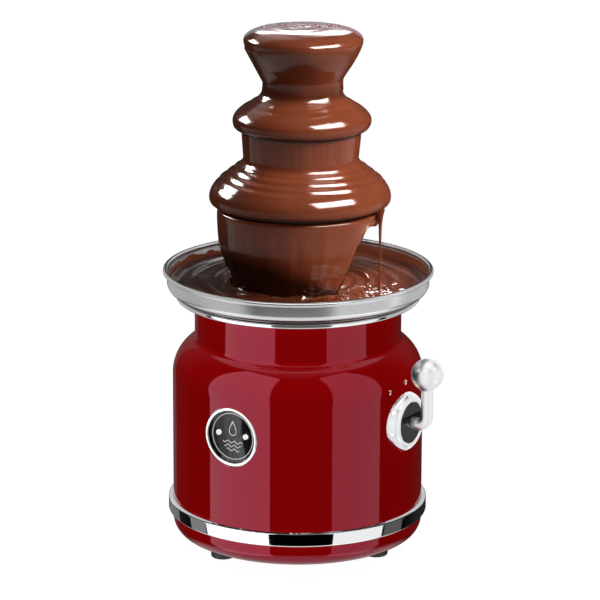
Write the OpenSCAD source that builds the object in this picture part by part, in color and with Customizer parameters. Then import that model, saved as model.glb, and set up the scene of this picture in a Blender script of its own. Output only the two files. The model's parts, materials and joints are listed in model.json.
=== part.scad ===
// Chocolate fountain with a round painted housing, a steel bowl and a three-tier tower.
// The origin is on the standing plane, on the tower's axis. +Z is up, the front is -Y, the lever is on +X.

/* [Feet and base] */
// Height of a rubber foot below the base
foot_h = 10.5; // [8:0.5:16]
// Diameter of a rubber foot
foot_d = 18; // [14:0.5:18]
// How far the middle of a foot lies inside the housing wall
foot_inset = 27.3; // [25.3:0.1:27.3]
// Turn of the feet about the axis, in degrees
foot_turn = 5; // [0:1:8]
// Thickness of the base floor
floor_t = 4; // [3.6:0.1:5]
// Gap between a foot and the edge of the bottom cover
cover_gap = 1; // [0.5:0.1:3]
// Thickness of the bottom cover
cover_t = 2.5; // [2:0.1:2.8]
// Number of vent slots in the bottom cover
vent_count = 20; // [8:1:24]

/* [Housing] */
// Diameter of the straight housing wall
body_d = 186.6; // [184:0.2:194]
// Wall thickness of the shells
shell_wall = 2.2; // [1.8:0.1:3]
// Radius of the rounded lower edge
base_fillet = 12; // [8:0.5:14]
// Height of the straight wall above the base
straight_h = 123.5; // [118:0.5:130]
// Radius of the domed shoulder
shoulder_r = 30; // [26:0.5:32]
// How far the collar under the bowl stands outside the bowl's well
collar_w = 9.3; // [8.2:0.1:10.5]
// Radius of the crease between shoulder and collar
crease_r = 4; // [2:0.5:6]
// Height of the housing above the base
housing_h = 180; // [176:0.5:190]
// Height of the trim band above the base
band_lift = 18; // [15:0.5:22]
// Height of the trim band
band_h = 10; // [8:0.5:14]
// How far the trim band stands proud
band_proud = 3.5; // [2:0.1:5]

/* [Bowl] */
// Diameter of the bowl over its rolled rim
bowl_d = 200.6; // [196:0.2:210]
// Height of the bowl from its seat to the top of the rim
bowl_h = 19; // [18:0.5:24]
// Sheet thickness of the bowl
bowl_sheet = 1.2; // [0.8:0.1:1.6]
// Radius of the rolled rim
bead_r = 1.7; // [1.4:0.1:2.2]
// Width of the bowl's ledge, from the edge of its seat to its well
ledge_w = 23; // [22:0.1:24.5]
// Depth of the well below the bowl's seat
well_depth = 25; // [22:0.5:27]
// How far the seat ring's edge lies inside the bowl's rim
seat_inset = 9.8; // [9:0.1:11]
// Thickness of the seat ring
seat_t = 4.5; // [3.6:0.1:6]

/* [Tower] */
// Bore of the tower tube
tube_bore_d = 39.6; // [39.2:0.1:41]
// Wall of the tower tube above its shoulder
tube_wall = 2.2; // [1.6:0.1:3]
// Wall of the sleeves that stack on the tube
sleeve_wall = 2.2; // [1.6:0.1:2.6]
// Sheet thickness of the tiers and the crown
tier_t = 2; // [1.4:0.1:2.4]
// Diameter of the lower tier
lower_tier_d = 123.4; // [120:0.2:128]
// Diameter of the middle tier
middle_tier_d = 90.8; // [88:0.2:95]
// Diameter of the crown cup
crown_d = 76.8; // [74:0.2:80]
// Height of the lower tier's rim above the bowl's seat
lower_tier_lift = 71; // [68:0.5:74]
// Height of the middle tier's rim above the lower tier's
tier_step = 56.5; // [54:0.5:60]
// Height of the crown's rim above the middle tier's
crown_step = 57.5; // [55:0.5:62]
// Height of an inlet slot at the foot of the tube
inlet_h = 14; // [8:0.5:20]

/* [Auger and drive] */
// Diameter of the auger flight
auger_d = 38; // [36:0.1:38.2]
// Diameter of the auger rod
auger_rod_d = 14; // [12:0.5:18]
// Rise of the flight in one turn
auger_pitch = 28; // [20:1:40]
// Thickness of the flight along the axis
flight_t = 3; // [2:0.1:5]
// Diameter of the drive shaft
shaft_d = 8; // [7:0.1:9]
// Tooth module of every gear
gear_module = 1; // [0.9:0.02:1.06]
// Teeth of the motor pinion
pinion_teeth = 14; // [13:1:15]
// Teeth of the idler's large gear
idler_teeth = 44; // [42:1:45]
// Teeth of the idler's small gear
idler_pinion_teeth = 14; // [13:1:15]
// Teeth of the output gear
output_teeth = 46; // [44:1:47]
// Face width of the gears
gear_face = 7; // [5:0.5:8]
// Direction of the motor as seen from the idler, in degrees
motor_angle = -60; // [-66:1:-50]
// Diameter of the motor
motor_d = 54; // [50:0.5:58]
// Length of the motor can
motor_h = 48; // [44:0.5:52]
// Diameter of the motor shaft
motor_shaft_d = 5; // [4:0.1:6]
// Thickness of the motor plate
plate_t = 2.5; // [2:0.1:3]
// Height of the pillars under the motor plate
pillar_h = 69.5; // [66:0.5:72]

/* [Heater] */
// Diameter of the heater plate
heater_d = 120; // [116:0.5:122]
// Thickness of the heater plate
heater_t = 8; // [6:0.5:9]
// Radius of the heater tube's ring
heater_ring_r = 46; // [45:0.5:50]
// Diameter of the heater tube
heater_tube_d = 7; // [5:0.1:8]

/* [Controls] */
// Height of the selector above the base
control_lift = 99.7; // [92:0.1:102]
// Height of the badge above the base
badge_lift = 96.1; // [90:0.1:100]
// Diameter of the badge ring
badge_d = 44.2; // [42:0.2:48]
// How deep the badge ring's front lies behind the crest of the wall
badge_sink = 1.2; // [0.6:0.1:1.8]
// How deep the badge face lies behind the ring's front
badge_recess = 3.4; // [2.6:0.1:4]
// Distance between the two badge lamps
lamp_spacing = 23; // [18:0.5:27]
// Diameter of a badge lamp
lamp_d = 4; // [3:0.1:5]
// Diameter of the selector bezel
bezel_d = 44.6; // [42:0.2:48]
// Diameter of the selector dish
dish_d = 30.4; // [26:0.2:32]
// How far the bezel's inner edge stands out from the wall
bezel_proud = 5.4; // [4.6:0.1:7]
// Diameter of the lever's arm
arm_d = 9.2; // [8.6:0.1:10]
// Distance of the arm from the housing wall
arm_out = 18.3; // [17.5:0.1:24]
// Length of the lever from its spindle to the ball's centre
lever_len = 38.8; // [36:0.1:46]
// Diameter of the lever's ball
ball_d = 24; // [20:0.5:26]
// Diameter of the switch spindle
spindle_d = 6; // [5:0.1:6.4]
// Bore of the cord gland
gland_bore_d = 7.2; // [6:0.1:8]
// Height of the cord gland above the base
gland_lift = 46; // [42:0.5:54]

/* [Chocolate] */
// How far the chocolate stands out round a tier's rim
coat = 5.3; // [4.6:0.1:6]
// Thickness of a falling curtain
curtain_t = 2; // [1.4:0.1:3]
// Depth of the pool's surface below the top of the rim
pool_drop = 10.5; // [9:0.1:12]
// Height of the mound on the crown above the crown's rim
mound_h = 13.5; // [11:0.5:15]
// Width of the tear in the lower curtain
tear_w = 69; // [50:1:74]
// Height of the tear above the pool
tear_h = 41; // [30:0.5:43]
// Direction of the tear, in degrees from the front towards the lever
tear_azimuth = 122; // [100:1:140]
// Diameter of the falling thread
thread_d = 2.8; // [2:0.1:3.6]
// Direction of the falling thread, in degrees from the front towards the lever
thread_azimuth = 99; // [94:1:130]

/* [Clearances] */
// Radial play of a shaft in its bearing
run_gap = 0.05; // [0.02:0.01:0.09]
// Radial play of pieces that slide together by hand
slide_gap = 0.15; // [0.1:0.01:0.25]
// Gap between soft or curved faces
skin_gap = 0.3; // [0.2:0.05:0.4]
// Play between meshing teeth
backlash = 0.16; // [0.1:0.02:0.24]

/* [Hidden] */
$fn = 96;
red = "#8a0a0c";
chrome = "#d8dade";
steel = "#b9bcc0";
black = "#1c1c1e";
brown = "#5a2c18";
brass = "#c8a24a";
resin = "#d9d6cf";

// Heights from the standing plane up
base_z = foot_h;
floor_top = base_z + floor_t;
band_z = base_z + band_lift;
parting_z = band_z + band_h / 2;
shoulder_z = base_z + straight_h;
housing_top = base_z + housing_h;
seat_z = housing_top + seat_t;
rim_z = seat_z + bowl_h;
well_z = seat_z - well_depth;
well_top = well_z + bowl_sheet;
pool_z = rim_z - pool_drop;
plate_z = floor_top + pillar_h;
plate_top = plate_z + plate_t;
control_z = base_z + control_lift;
badge_z = base_z + badge_lift;

// Radii of the housing
shell_r = body_d / 2;
seat_r = bowl_d / 2 - seat_inset;
shell_in = shell_r - shell_wall;
foot_circle_r = shell_r - foot_inset;
cover_r = foot_circle_r - foot_d / 2 - cover_gap;
well_r = seat_r - ledge_w;
collar_r = well_r + collar_w;
shoulder_c = shell_r - shoulder_r;
crease_dr = collar_r + crease_r - shoulder_c;
crease_dz = sqrt((shoulder_r + crease_r) ^ 2 - crease_dr ^ 2);
crease_z = shoulder_z + crease_dz;
crease_a = atan2(crease_dz, crease_dr);

// Screws of the base: M3 with a pan head
screw_r = 1.5;
screw_hole_r = screw_r + slide_gap;
head_r = 2.9;
head_h = 1.9;
recess_r = head_r + skin_gap;
recess_h = head_h + skin_gap;
foot_angles = [foot_turn, foot_turn + 120, foot_turn + 240];
pillar_angles = [60, 180, 300];
boss_angles = [30, 150, 270];
boss_r = 5;
boss_h = 25;
boss_circle_r = shell_in - 13;
boss_screw_l = parting_z - floor_top + 15;
pillar_r = 4.5;
pillar_circle_r = foot_circle_r + 6;
pillar_thread_l = 10;
cover_boss_r = 3.9;
cover_boss_h = 6;
cover_screw_r = cover_r - cover_boss_r - skin_gap;
cover_ledge_r = cover_screw_r - cover_boss_r - skin_gap;

// Tower radii and heights
tube_in = tube_bore_d / 2;
tube_r = tube_in + tube_wall;
sleeve_in = tube_r + slide_gap;
sleeve_r = sleeve_in + sleeve_wall;
lower_z = seat_z + lower_tier_lift;
middle_z = lower_z + tier_step;
crown_z = middle_z + crown_step;
lower_r = lower_tier_d / 2;
middle_r = middle_tier_d / 2;
crown_r = crown_d / 2;
lower_dome = 28;
middle_dome = 20.5;
crown_cup_h = 28;
lower_seat = lower_z - 4;
middle_seat = middle_z - 10.5;
crown_seat = crown_z - 34;
tube_top = crown_z - 6;

// Flow of chocolate round each tier
lower_flow_r = lower_r + coat;
middle_flow_r = middle_r + coat;
crown_flow_r = crown_r + coat;
neck_r = sleeve_r + coat;
neck_z = crown_seat + 3;
upper_curtain_r = middle_flow_r - 6.8;
landing_z = lower_z + 32;
mound_z = crown_z + mound_h;

// Shaft bush in the bowl
shaft_r = shaft_d / 2;
bearing_r = shaft_r + run_gap;
bush_r = shaft_r + 5;
bush_flange_r = tube_in - slide_gap;
bush_flange_h = 2.8;
post_h = 15;
nut_h = 6;
nut_r = bush_r + 6;
seal_h = 3;
hex_r = shaft_r;
hex_l = 16;
hub_lift = 2.5;
post_top = well_top + post_h;
auger_z = post_top + seal_h + hub_lift;
shaft_top = auger_z + hex_l;
auger_top = tube_top - 2;
rod_r = auger_rod_d / 2;
flight_z = auger_z + 2;

// Gear train
pressure = 20;
addendum = 0.8;
dedendum = 1.1;
first_distance = gear_module * (pinion_teeth + idler_teeth) / 2;
second_distance = gear_module * (idler_pinion_teeth + output_teeth) / 2;
idler_xy = [0, second_distance];
motor_xy = idler_xy + first_distance * [cos(motor_angle), sin(motor_angle)];
output_tip = gear_module * (output_teeth / 2 + addendum);
idler_tip = gear_module * (idler_teeth / 2 + addendum);
drum_c = [0, second_distance / 2];
drum_in = second_distance / 2 + max(output_tip, idler_tip) + 2.5;
drum_wall = 2.5;
drum_r = drum_in + drum_wall;
lug_r = 5;
lug_circle_r = drum_r + 3.5;
lug_angles = [45, 135, 225, 315];
pin_r = 2;
pin_shoulder_r = 4.5;
pin_shoulder_h = 3.3;
first_z = plate_top + 3.5;
second_z = first_z + gear_face + 2;
drum_top = second_z + gear_face + 5;
drum_cover_t = 2.5;
cover_hub_h = 3.5;
thrust_r = shaft_r + 2;
thrust_h = 3;
thrust_floor = 1;

// Motor
motor_r = motor_d / 2;
motor_wall = 1.5;
motor_top_t = 2;
cap_t = 2.5;
cap_hub_h = 4;
motor_z = plate_z - motor_h;
motor_shaft_r = motor_shaft_d / 2;
motor_bearing_r = motor_shaft_r + run_gap;
rotor_gap = 0.8;
stator_t = 5;
stator_in = motor_r - motor_wall - slide_gap - stator_t;
rotor_r = stator_in - rotor_gap;
motor_screw_r = 16;
motor_screw_angles = [-45, 135];
plate_r = pillar_circle_r + pillar_r + 3;

// Selector and badge
neck_bush_r = spindle_d / 2 + 2;
spindle_r = spindle_d / 2;
switch_w = 28;
switch_depth = 18;
switch_flange_r = neck_bush_r + 5;
switch_flange_t = 3;
switch_seat = sqrt(shell_in ^ 2 - switch_flange_r ^ 2) - slide_gap;
switch_front = switch_seat - switch_flange_t;
switch_back = switch_front - switch_depth;
bezel_edge = 1.2;
bezel_floor = shell_r + 1.7;
bezel_lip = shell_r + bezel_proud;
dish_t = 1.3;
switch_nut_r = neck_bush_r + 3.2;
dish_back = bezel_lip - 0.3 - dish_t;
arm_r = arm_d / 2;
arm_x = shell_r + arm_out;
bend_r = arm_r + 2.4;
heel_x = bezel_lip + 1;
heel_bore_l = 6;
ball_bore_l = 8;
badge_front = shell_r - badge_sink;
badge_face_t = 2;
badge_lens_t = 1.4;
badge_ring_w = 2.4;
badge_r = badge_d / 2;
badge_in = badge_r - badge_ring_w;
badge_flange_r = badge_r + 1.5;
badge_face_front = badge_front - badge_recess;
badge_face_back = badge_face_front - badge_face_t;
badge_ledge = 1.5;
board_t = 1.6;
lamp_up = 1.5;
gland_r = gland_bore_d / 2 + 2.4;
gland_flange_r = gland_r + 3;
gland_z = base_z + gland_lift;

// Points on an arc about c
function arc(c, r, from, to, n = 8) =
    [for (i = [0:n]) let (a = from + (to - from) * i / n) c + r * [cos(a), sin(a)]];

// Points on a quadratic curve from a to c, drawn towards b
function curve(a, b, c, n = 8) =
    [for (i = [0:n]) let (t = i / n) (1 - t) ^ 2 * a + 2 * t * (1 - t) * b + t ^ 2 * c];

function reversed(list) = [for (i = [len(list) - 1:-1:0]) list[i]];

function on_circle(r, a) = r * [cos(a), sin(a), 0];

// Turns +Z to point outwards from the housing, at an azimuth from the front
module outwards(azimuth, z) {
    translate([0, 0, z]) rotate([0, 0, azimuth]) rotate([90, 0, 0]) children();
}

module ring(r_out, r_in, h) {
    difference() {
        cylinder(r = r_out, h = h);
        translate([0, 0, -1]) cylinder(r = r_in, h = h + 2);
    }
}

// A pan-head screw with its head's underside at z = 0 and its shank below
module screw(length) {
    translate([0, 0, -length]) cylinder(r = screw_r, h = length + 0.1);
    cylinder(r = head_r, h = head_h);
}

// Housing outline, moved inwards by a wall
function housing_side(inset) = concat(
    [[shell_r - inset, parting_z]],
    arc([shoulder_c, shoulder_z], shoulder_r - inset, 0, crease_a, 16),
    arc([collar_r + crease_r, crease_z], crease_r + inset, crease_a + 180, 180, 6)
);

module upper_shell() {
    flange_in = well_r + 1;
    color(red) difference() {
        union() {
            rotate_extrude() polygon(concat(
                housing_side(0),
                [[collar_r, housing_top], [flange_in, housing_top]],
                [[flange_in, housing_top - shell_wall], [collar_r - shell_wall, housing_top - shell_wall]],
                reversed(housing_side(shell_wall))
            ));
            for (a = boss_angles) rotate(a) translate([0, 0, parting_z]) {
                translate([boss_circle_r, 0, 0]) cylinder(r = boss_r, h = boss_h);
                translate([boss_circle_r, -boss_r / 3, 0])
                    cube([shell_in + shell_wall / 2 - boss_circle_r, boss_r * 2 / 3, boss_h]);
            }
        }
        for (a = boss_angles) translate(on_circle(boss_circle_r, a) + [0, 0, parting_z - 1])
            cylinder(r = screw_hole_r, h = boss_h - 2);
        outwards(0, badge_z) cylinder(r = badge_r + slide_gap, h = shell_r * 2);
        outwards(90, control_z) cylinder(r = neck_bush_r + slide_gap, h = shell_r * 2);
        outwards(180, gland_z) cylinder(r = gland_r + slide_gap, h = shell_r * 2);
    }
}

module lower_shell() {
    fillet_c = [shell_r - base_fillet, base_z + base_fillet];
    inner_r = base_fillet - shell_wall;
    inner_a = -asin(min(1, (base_fillet - floor_t) / inner_r));
    color(red) difference() {
        union() {
            rotate_extrude() polygon(concat(
                [[0, base_z]],
                arc(fillet_c, base_fillet, -90, 0),
                [[shell_r, parting_z], [shell_in, parting_z]],
                arc(fillet_c, inner_r, 0, inner_a),
                [[0, floor_top]]
            ));
            for (a = boss_angles) translate(on_circle(boss_circle_r, a) + [0, 0, floor_top - 1])
                cylinder(r = boss_r, h = parting_z - floor_top + 1);
            for (a = boss_angles) translate(on_circle(cover_screw_r, a) + [0, 0, floor_top - 1])
                cylinder(r = cover_boss_r, h = cover_boss_h + 1);
        }
        translate([0, 0, base_z - 1]) cylinder(r = cover_r + slide_gap, h = cover_t + 1);
        translate([0, 0, base_z]) cylinder(r = cover_ledge_r, h = floor_t + 1);
        for (a = boss_angles) {
            translate(on_circle(cover_screw_r, a) + [0, 0, base_z])
                cylinder(r = screw_hole_r, h = floor_t + cover_boss_h - 1.5);
            translate(on_circle(boss_circle_r, a) + [0, 0, base_z - 1])
                cylinder(r = screw_hole_r, h = parting_z - base_z + 2);
            translate(on_circle(boss_circle_r, a) + [0, 0, base_z - 1])
                cylinder(r = recess_r, h = recess_h + 1);
        }
        for (a = pillar_angles) translate(on_circle(pillar_circle_r, a) + [0, 0, base_z - 1]) {
            cylinder(r = screw_hole_r, h = floor_t + 2);
            cylinder(r = recess_r, h = recess_h + 1);
        }
        for (a = foot_angles) translate(on_circle(foot_circle_r, a) + [0, 0, base_z - 1])
            cylinder(r = foot_d / 6 + slide_gap, h = floor_t + 2);
    }
}

module trim_band() {
    inner = shell_r + slide_gap;
    outer = shell_r + band_proud;
    round_r = min(1.2, band_proud / 3);
    color(chrome) rotate_extrude() polygon(concat(
        [[inner, band_z]],
        arc([outer - round_r, band_z + round_r], round_r, -90, 0, 4),
        arc([outer - round_r, band_z + band_h - round_r], round_r, 0, 90, 4),
        [[inner, band_z + band_h]]
    ));
}

module bottom_cover() {
    vent_l = cover_ledge_r / 2 - 4;
    vent_w = 3;
    color(black) translate([0, 0, base_z]) difference() {
        cylinder(r = cover_r, h = cover_t);
        for (i = [0:vent_count - 1]) rotate(i * 360 / vent_count)
            translate([cover_ledge_r - vent_l - 3, -vent_w / 2, -1]) cube([vent_l, vent_w, cover_t + 2]);
        for (a = boss_angles) translate(on_circle(cover_screw_r, a) + [0, 0, -1]) {
            cylinder(r = screw_hole_r, h = cover_t + 2);
            cylinder(r = recess_r, h = 1 + cover_t / 2);
        }
    }
}

module cover_screws() {
    color(steel) for (a = boss_angles)
        translate(on_circle(cover_screw_r, a) + [0, 0, base_z + cover_t / 2]) mirror([0, 0, 1])
            intersection() {
                screw(floor_t + cover_boss_h - cover_t / 2 - 2);
                translate([0, 0, -50]) cylinder(r = head_r, h = 50 + cover_t / 2);
            }
}

module base_screws() {
    color(steel) for (a = boss_angles)
        translate(on_circle(boss_circle_r, a) + [0, 0, base_z + recess_h]) mirror([0, 0, 1])
            screw(boss_screw_l);
}

module foot(a) {
    stem_r = foot_d / 6;
    color(black) translate(on_circle(foot_circle_r, a)) rotate_extrude() polygon([
        [0, 0], [foot_d / 2 - 1.6, 0], [foot_d / 2 - 0.8, 0.8], [foot_d / 2, base_z], [stem_r, base_z],
        [stem_r, floor_top], [stem_r + 1.4, floor_top], [stem_r + 0.2, floor_top + 2.5], [0, floor_top + 2.5]
    ]);
}

module frame_pillars() {
    color(steel) for (a = pillar_angles) translate(on_circle(pillar_circle_r, a) + [0, 0, floor_top])
        difference() {
            cylinder(r = pillar_r, h = pillar_h);
            translate([0, 0, -1]) cylinder(r = screw_hole_r, h = pillar_thread_l + 1);
            translate([0, 0, pillar_h - pillar_thread_l]) cylinder(r = screw_hole_r, h = pillar_thread_l + 1);
        }
}

module pillar_screws() {
    color(steel) for (a = pillar_angles) translate(on_circle(pillar_circle_r, a)) {
        translate([0, 0, plate_top]) screw(plate_t + pillar_thread_l - 1);
        translate([0, 0, base_z + recess_h]) mirror([0, 0, 1])
            screw(floor_t - recess_h + pillar_thread_l - 1);
    }
}

module motor_plate() {
    window_r = 9;
    color(steel) difference() {
        translate([0, 0, plate_z]) cylinder(r = plate_r, h = plate_t);
        translate([0, 0, plate_z - 1]) {
            for (a = pillar_angles) translate(on_circle(pillar_circle_r, a))
                cylinder(r = screw_hole_r, h = plate_t + 2);
            for (a = boss_angles) translate(on_circle(plate_r - window_r - 6, a))
                cylinder(r = window_r, h = plate_t + 2);
            for (a = lug_angles) translate(drum_c + lug_circle_r * [cos(a), sin(a)])
                cylinder(r = screw_hole_r, h = plate_t + 2);
            for (a = motor_screw_angles) translate(motor_xy + motor_screw_r * [cos(a), sin(a)])
                cylinder(r = screw_hole_r, h = plate_t + 2);
            translate(motor_xy) cylinder(r = motor_shaft_r + 1.5, h = plate_t + 2);
            translate(idler_xy) cylinder(r = pin_r + run_gap, h = plate_t + 2);
            cylinder(r = shaft_r + 1 + run_gap, h = plate_t + 2);
        }
    }
}

module motor_can() {
    color(steel) translate([motor_xy[0], motor_xy[1], motor_z]) difference() {
        cylinder(r = motor_r, h = motor_h);
        translate([0, 0, -1]) cylinder(r = motor_r - motor_wall, h = motor_h - motor_top_t + 1);
        cylinder(r = motor_bearing_r, h = motor_h + 1);
        for (a = motor_screw_angles) translate(on_circle(motor_screw_r, a))
            cylinder(r = screw_hole_r, h = motor_h + 1);
    }
}

module motor_end_cap() {
    color(black) translate([motor_xy[0], motor_xy[1], motor_z - cap_t]) difference() {
        union() {
            cylinder(r = motor_r, h = cap_t);
            cylinder(r = motor_shaft_r + 4, h = cap_t + cap_hub_h);
        }
        translate([0, 0, 1]) cylinder(r = motor_bearing_r, h = cap_t + cap_hub_h);
    }
}

module motor_stator() {
    color("darkslategray") translate([motor_xy[0], motor_xy[1], motor_z + 8])
        ring(stator_in + stator_t, stator_in, motor_h - 16);
}

module motor_screws() {
    color(steel) for (a = motor_screw_angles)
        translate([motor_xy[0], motor_xy[1], plate_top] + on_circle(motor_screw_r, a))
            screw(plate_t + motor_top_t + 1);
}

module motor_rotor() {
    color("peru") translate([motor_xy[0], motor_xy[1], motor_z + 10])
        ring(rotor_r, motor_bearing_r, motor_h - 20);
}

module motor_shaft() {
    color(steel) translate([motor_xy[0], motor_xy[1], motor_z - cap_t + 1])
        cylinder(r = motor_shaft_r, h = first_z + gear_face - motor_z + cap_t - 1);
}

function involute(a) = tan(a) * 180 / PI - a;

// Half the angle that a tooth fills at radius r
function tooth_half(teeth, r) =
    let (pitch_r = gear_module * teeth / 2, base_r = pitch_r * cos(pressure))
    90 / teeth - backlash / pitch_r / 4 * 180 / PI + involute(pressure) - involute(acos(min(1, base_r / r)));

// One tooth's outline as radius and angle, up one flank and down the other
function tooth(teeth) =
    let (
        pitch_r = gear_module * teeth / 2,
        root_r = pitch_r - gear_module * dedendum,
        start_r = max(root_r, pitch_r * cos(pressure)),
        tip_r = pitch_r + gear_module * addendum,
        flank = [for (i = [0:4]) let (r = start_r + (tip_r - start_r) * i / 4) [r, tooth_half(teeth, r)]]
    )
    concat(
        [[root_r, -flank[0][1]]],
        [for (p = flank) [p[0], -p[1]]],
        reversed(flank),
        [[root_r, flank[0][1]]]
    );

module gear(teeth, phase, face, bore_r) {
    linear_extrude(face) difference() {
        polygon([for (i = [0:teeth - 1]) for (p = tooth(teeth))
            let (a = phase + i * 360 / teeth + p[1]) p[0] * [cos(a), sin(a)]]);
        circle(r = bore_r);
    }
}

module motor_pinion() {
    color(brass) translate([motor_xy[0], motor_xy[1], first_z])
        gear(pinion_teeth, motor_angle + 180 + 180 / pinion_teeth, gear_face, motor_bearing_r);
}

module idler_gear() {
    color("ivory") translate([idler_xy[0], idler_xy[1], first_z]) {
        gear(idler_teeth, motor_angle, gear_face, pin_r + run_gap);
        translate([0, 0, gear_face])
            gear(idler_pinion_teeth, -90, second_z - first_z + 1, pin_r + run_gap);
    }
}

module output_gear() {
    color("ivory") translate([0, 0, second_z])
        gear(output_teeth, 90 + 180 / output_teeth, gear_face, bearing_r);
}

module idler_pin() {
    color(steel) translate([idler_xy[0], idler_xy[1], plate_z]) {
        cylinder(r = pin_r, h = drum_top - plate_z + 1);
        translate([0, 0, plate_t]) cylinder(r = pin_shoulder_r, h = pin_shoulder_h);
    }
}

module thrust_bush() {
    color(brass) translate([0, 0, plate_z]) difference() {
        union() {
            cylinder(r = shaft_r + 1, h = plate_t + 0.1);
            translate([0, 0, plate_t]) cylinder(r = thrust_r, h = thrust_h);
        }
        translate([0, 0, thrust_floor]) cylinder(r = bearing_r, h = plate_t + thrust_h);
    }
}

// The drum with its screw lugs, as a plate of a given height
module drum_outline(h) {
    translate([drum_c[0], drum_c[1], 0]) difference() {
        union() {
            cylinder(r = drum_r, h = h);
            for (a = lug_angles) translate(on_circle(lug_circle_r, a)) cylinder(r = lug_r, h = h);
        }
        for (a = lug_angles) translate(on_circle(lug_circle_r, a) + [0, 0, -1])
            cylinder(r = screw_hole_r, h = h + 2);
    }
}

module gearbox_housing() {
    color("slategray") translate([0, 0, plate_top]) difference() {
        drum_outline(drum_top - plate_top);
        translate([drum_c[0], drum_c[1], -1]) cylinder(r = drum_in, h = drum_top - plate_top + 2);
    }
}

module gearbox_cover() {
    color("slategray") translate([0, 0, drum_top]) difference() {
        union() {
            drum_outline(drum_cover_t);
            cylinder(r = thrust_r + 2, h = drum_cover_t + cover_hub_h);
        }
        translate([0, 0, -1]) cylinder(r = bearing_r, h = drum_cover_t + cover_hub_h + 2);
        translate([idler_xy[0], idler_xy[1], -1]) cylinder(r = pin_r + run_gap, h = 2.3);
    }
}

module gearbox_screws() {
    color(steel) for (a = lug_angles)
        translate(concat(drum_c + lug_circle_r * [cos(a), sin(a)], drum_top + drum_cover_t))
            screw(drum_top + drum_cover_t - plate_z - 0.5);
}

module drive_shaft() {
    color(steel) {
        translate([0, 0, plate_z + thrust_floor]) cylinder(r = shaft_r, h = auger_z - plate_z - thrust_floor);
        translate([0, 0, auger_z - 0.1]) cylinder(r = hex_r, h = hex_l + 0.1, $fn = 6);
    }
}

// Bowl wall from the dish floor up to the rolled rim, moved inwards by the sheet
rim_c = [bowl_d / 2 - bead_r, rim_z - bead_r];
wall_top = rim_c + [-1, -2.4];
wall_foot = [bowl_d / 2 - 3.1, seat_z + 8];
dish_edge = seat_r - 3;
function bowl_wall(inset) = concat(
    curve(
        [dish_edge - inset / 2, seat_z + inset],
        [wall_foot[0] - inset - 0.6, seat_z + 2.6 + inset],
        wall_foot - [inset, 0]
    ),
    [wall_top - [inset, 0]]
);

module bowl() {
    corner = 3;
    hole_r = bush_r + slide_gap;
    color(steel) rotate_extrude() polygon(concat(
        [[hole_r, well_z]],
        arc([well_r - corner, well_z + corner], corner, -90, 0, 4),
        [[well_r, seat_z]],
        bowl_wall(0),
        arc(rim_c, bead_r, -70, 200, 14),
        reversed(bowl_wall(bowl_sheet)),
        [[well_r - bowl_sheet, seat_z + bowl_sheet]],
        arc([well_r - corner, well_z + corner], corner - bowl_sheet, 0, -90, 4),
        [[hole_r, well_top]]
    ));
}

module seat_ring() {
    outer = seat_r;
    inner = well_r + slide_gap;
    step = 1.3;
    step_in = 11.2;
    edge = 1.2;
    color(chrome) rotate_extrude() polygon(concat(
        [[inner, housing_top], [outer - step_in - 1, housing_top], [outer - step_in, housing_top + step]],
        arc([outer - edge, housing_top + step + edge], edge, -90, 0, 4),
        arc([outer - edge, seat_z - edge], edge, 0, 90, 4),
        [[inner, seat_z]]
    ));
}

module shaft_bush() {
    color(brass) difference() {
        union() {
            translate([0, 0, well_z - nut_h - 2]) cylinder(r = bush_r, h = nut_h + 2 + bowl_sheet + post_h);
            translate([0, 0, well_top]) cylinder(r = bush_flange_r, h = bush_flange_h);
        }
        translate([0, 0, well_z - nut_h - 3]) cylinder(r = bearing_r, h = nut_h + well_depth + post_h);
    }
}

module bush_nut() {
    color(brass) translate([0, 0, well_z - nut_h]) difference() {
        cylinder(r = nut_r, h = nut_h, $fn = 6);
        translate([0, 0, -1]) cylinder(r = bush_r + run_gap, h = nut_h + 2);
    }
}

module shaft_seal() {
    color("crimson") translate([0, 0, post_top]) ring(bush_r, bearing_r + run_gap, seal_h);
}

module heater_plate() {
    color("gainsboro") translate([0, 0, well_z - heater_t]) ring(heater_d / 2, nut_r + 8, heater_t);
}

module heater_tube() {
    tube_r0 = heater_tube_d / 2;
    tube_z = well_z - heater_t - tube_r0 - slide_gap;
    sweep = 320;
    tail_l = 12;
    color("dimgray") {
        translate([0, 0, tube_z]) rotate_extrude(angle = sweep)
            translate([heater_ring_r, 0]) circle(r = tube_r0);
        for (a = [0, sweep]) translate(on_circle(heater_ring_r, a) + [0, 0, tube_z - tail_l])
            cylinder(r = tube_r0 - 0.4, h = tail_l);
    }
}

module thermostat() {
    disc_r = 7;
    color("tan") translate(on_circle(nut_r + 9 + disc_r, 200) + [0, 0, well_z - heater_t - 9]) {
        cylinder(r = disc_r, h = 9);
        for (s = [-1, 1]) translate([s * 3, -1, -6]) cube([0.8, 4, 6.1]);
    }
}

module thermal_fuse() {
    fuse_r = 2.4;
    color("white") translate(on_circle(nut_r + 14, 80) + [0, 0, well_z - heater_t - fuse_r]) {
        rotate([90, 0, 80]) translate([0, 0, -7]) cylinder(r = fuse_r, h = 14);
        rotate([0, 0, 80]) translate([-fuse_r - 3, -2, 0]) cube([2 * fuse_r + 6, 4, fuse_r]);
    }
}

module terminal_block() {
    size = [30, 13, 12];
    color("whitesmoke") translate([-size[0] / 2, pillar_circle_r - 4 - size[1] / 2, floor_top]) difference() {
        cube(size);
        for (x = [5:10:25]) translate([x, size[1] / 2, 4]) cylinder(r = 2, h = size[2]);
    }
}

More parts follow.
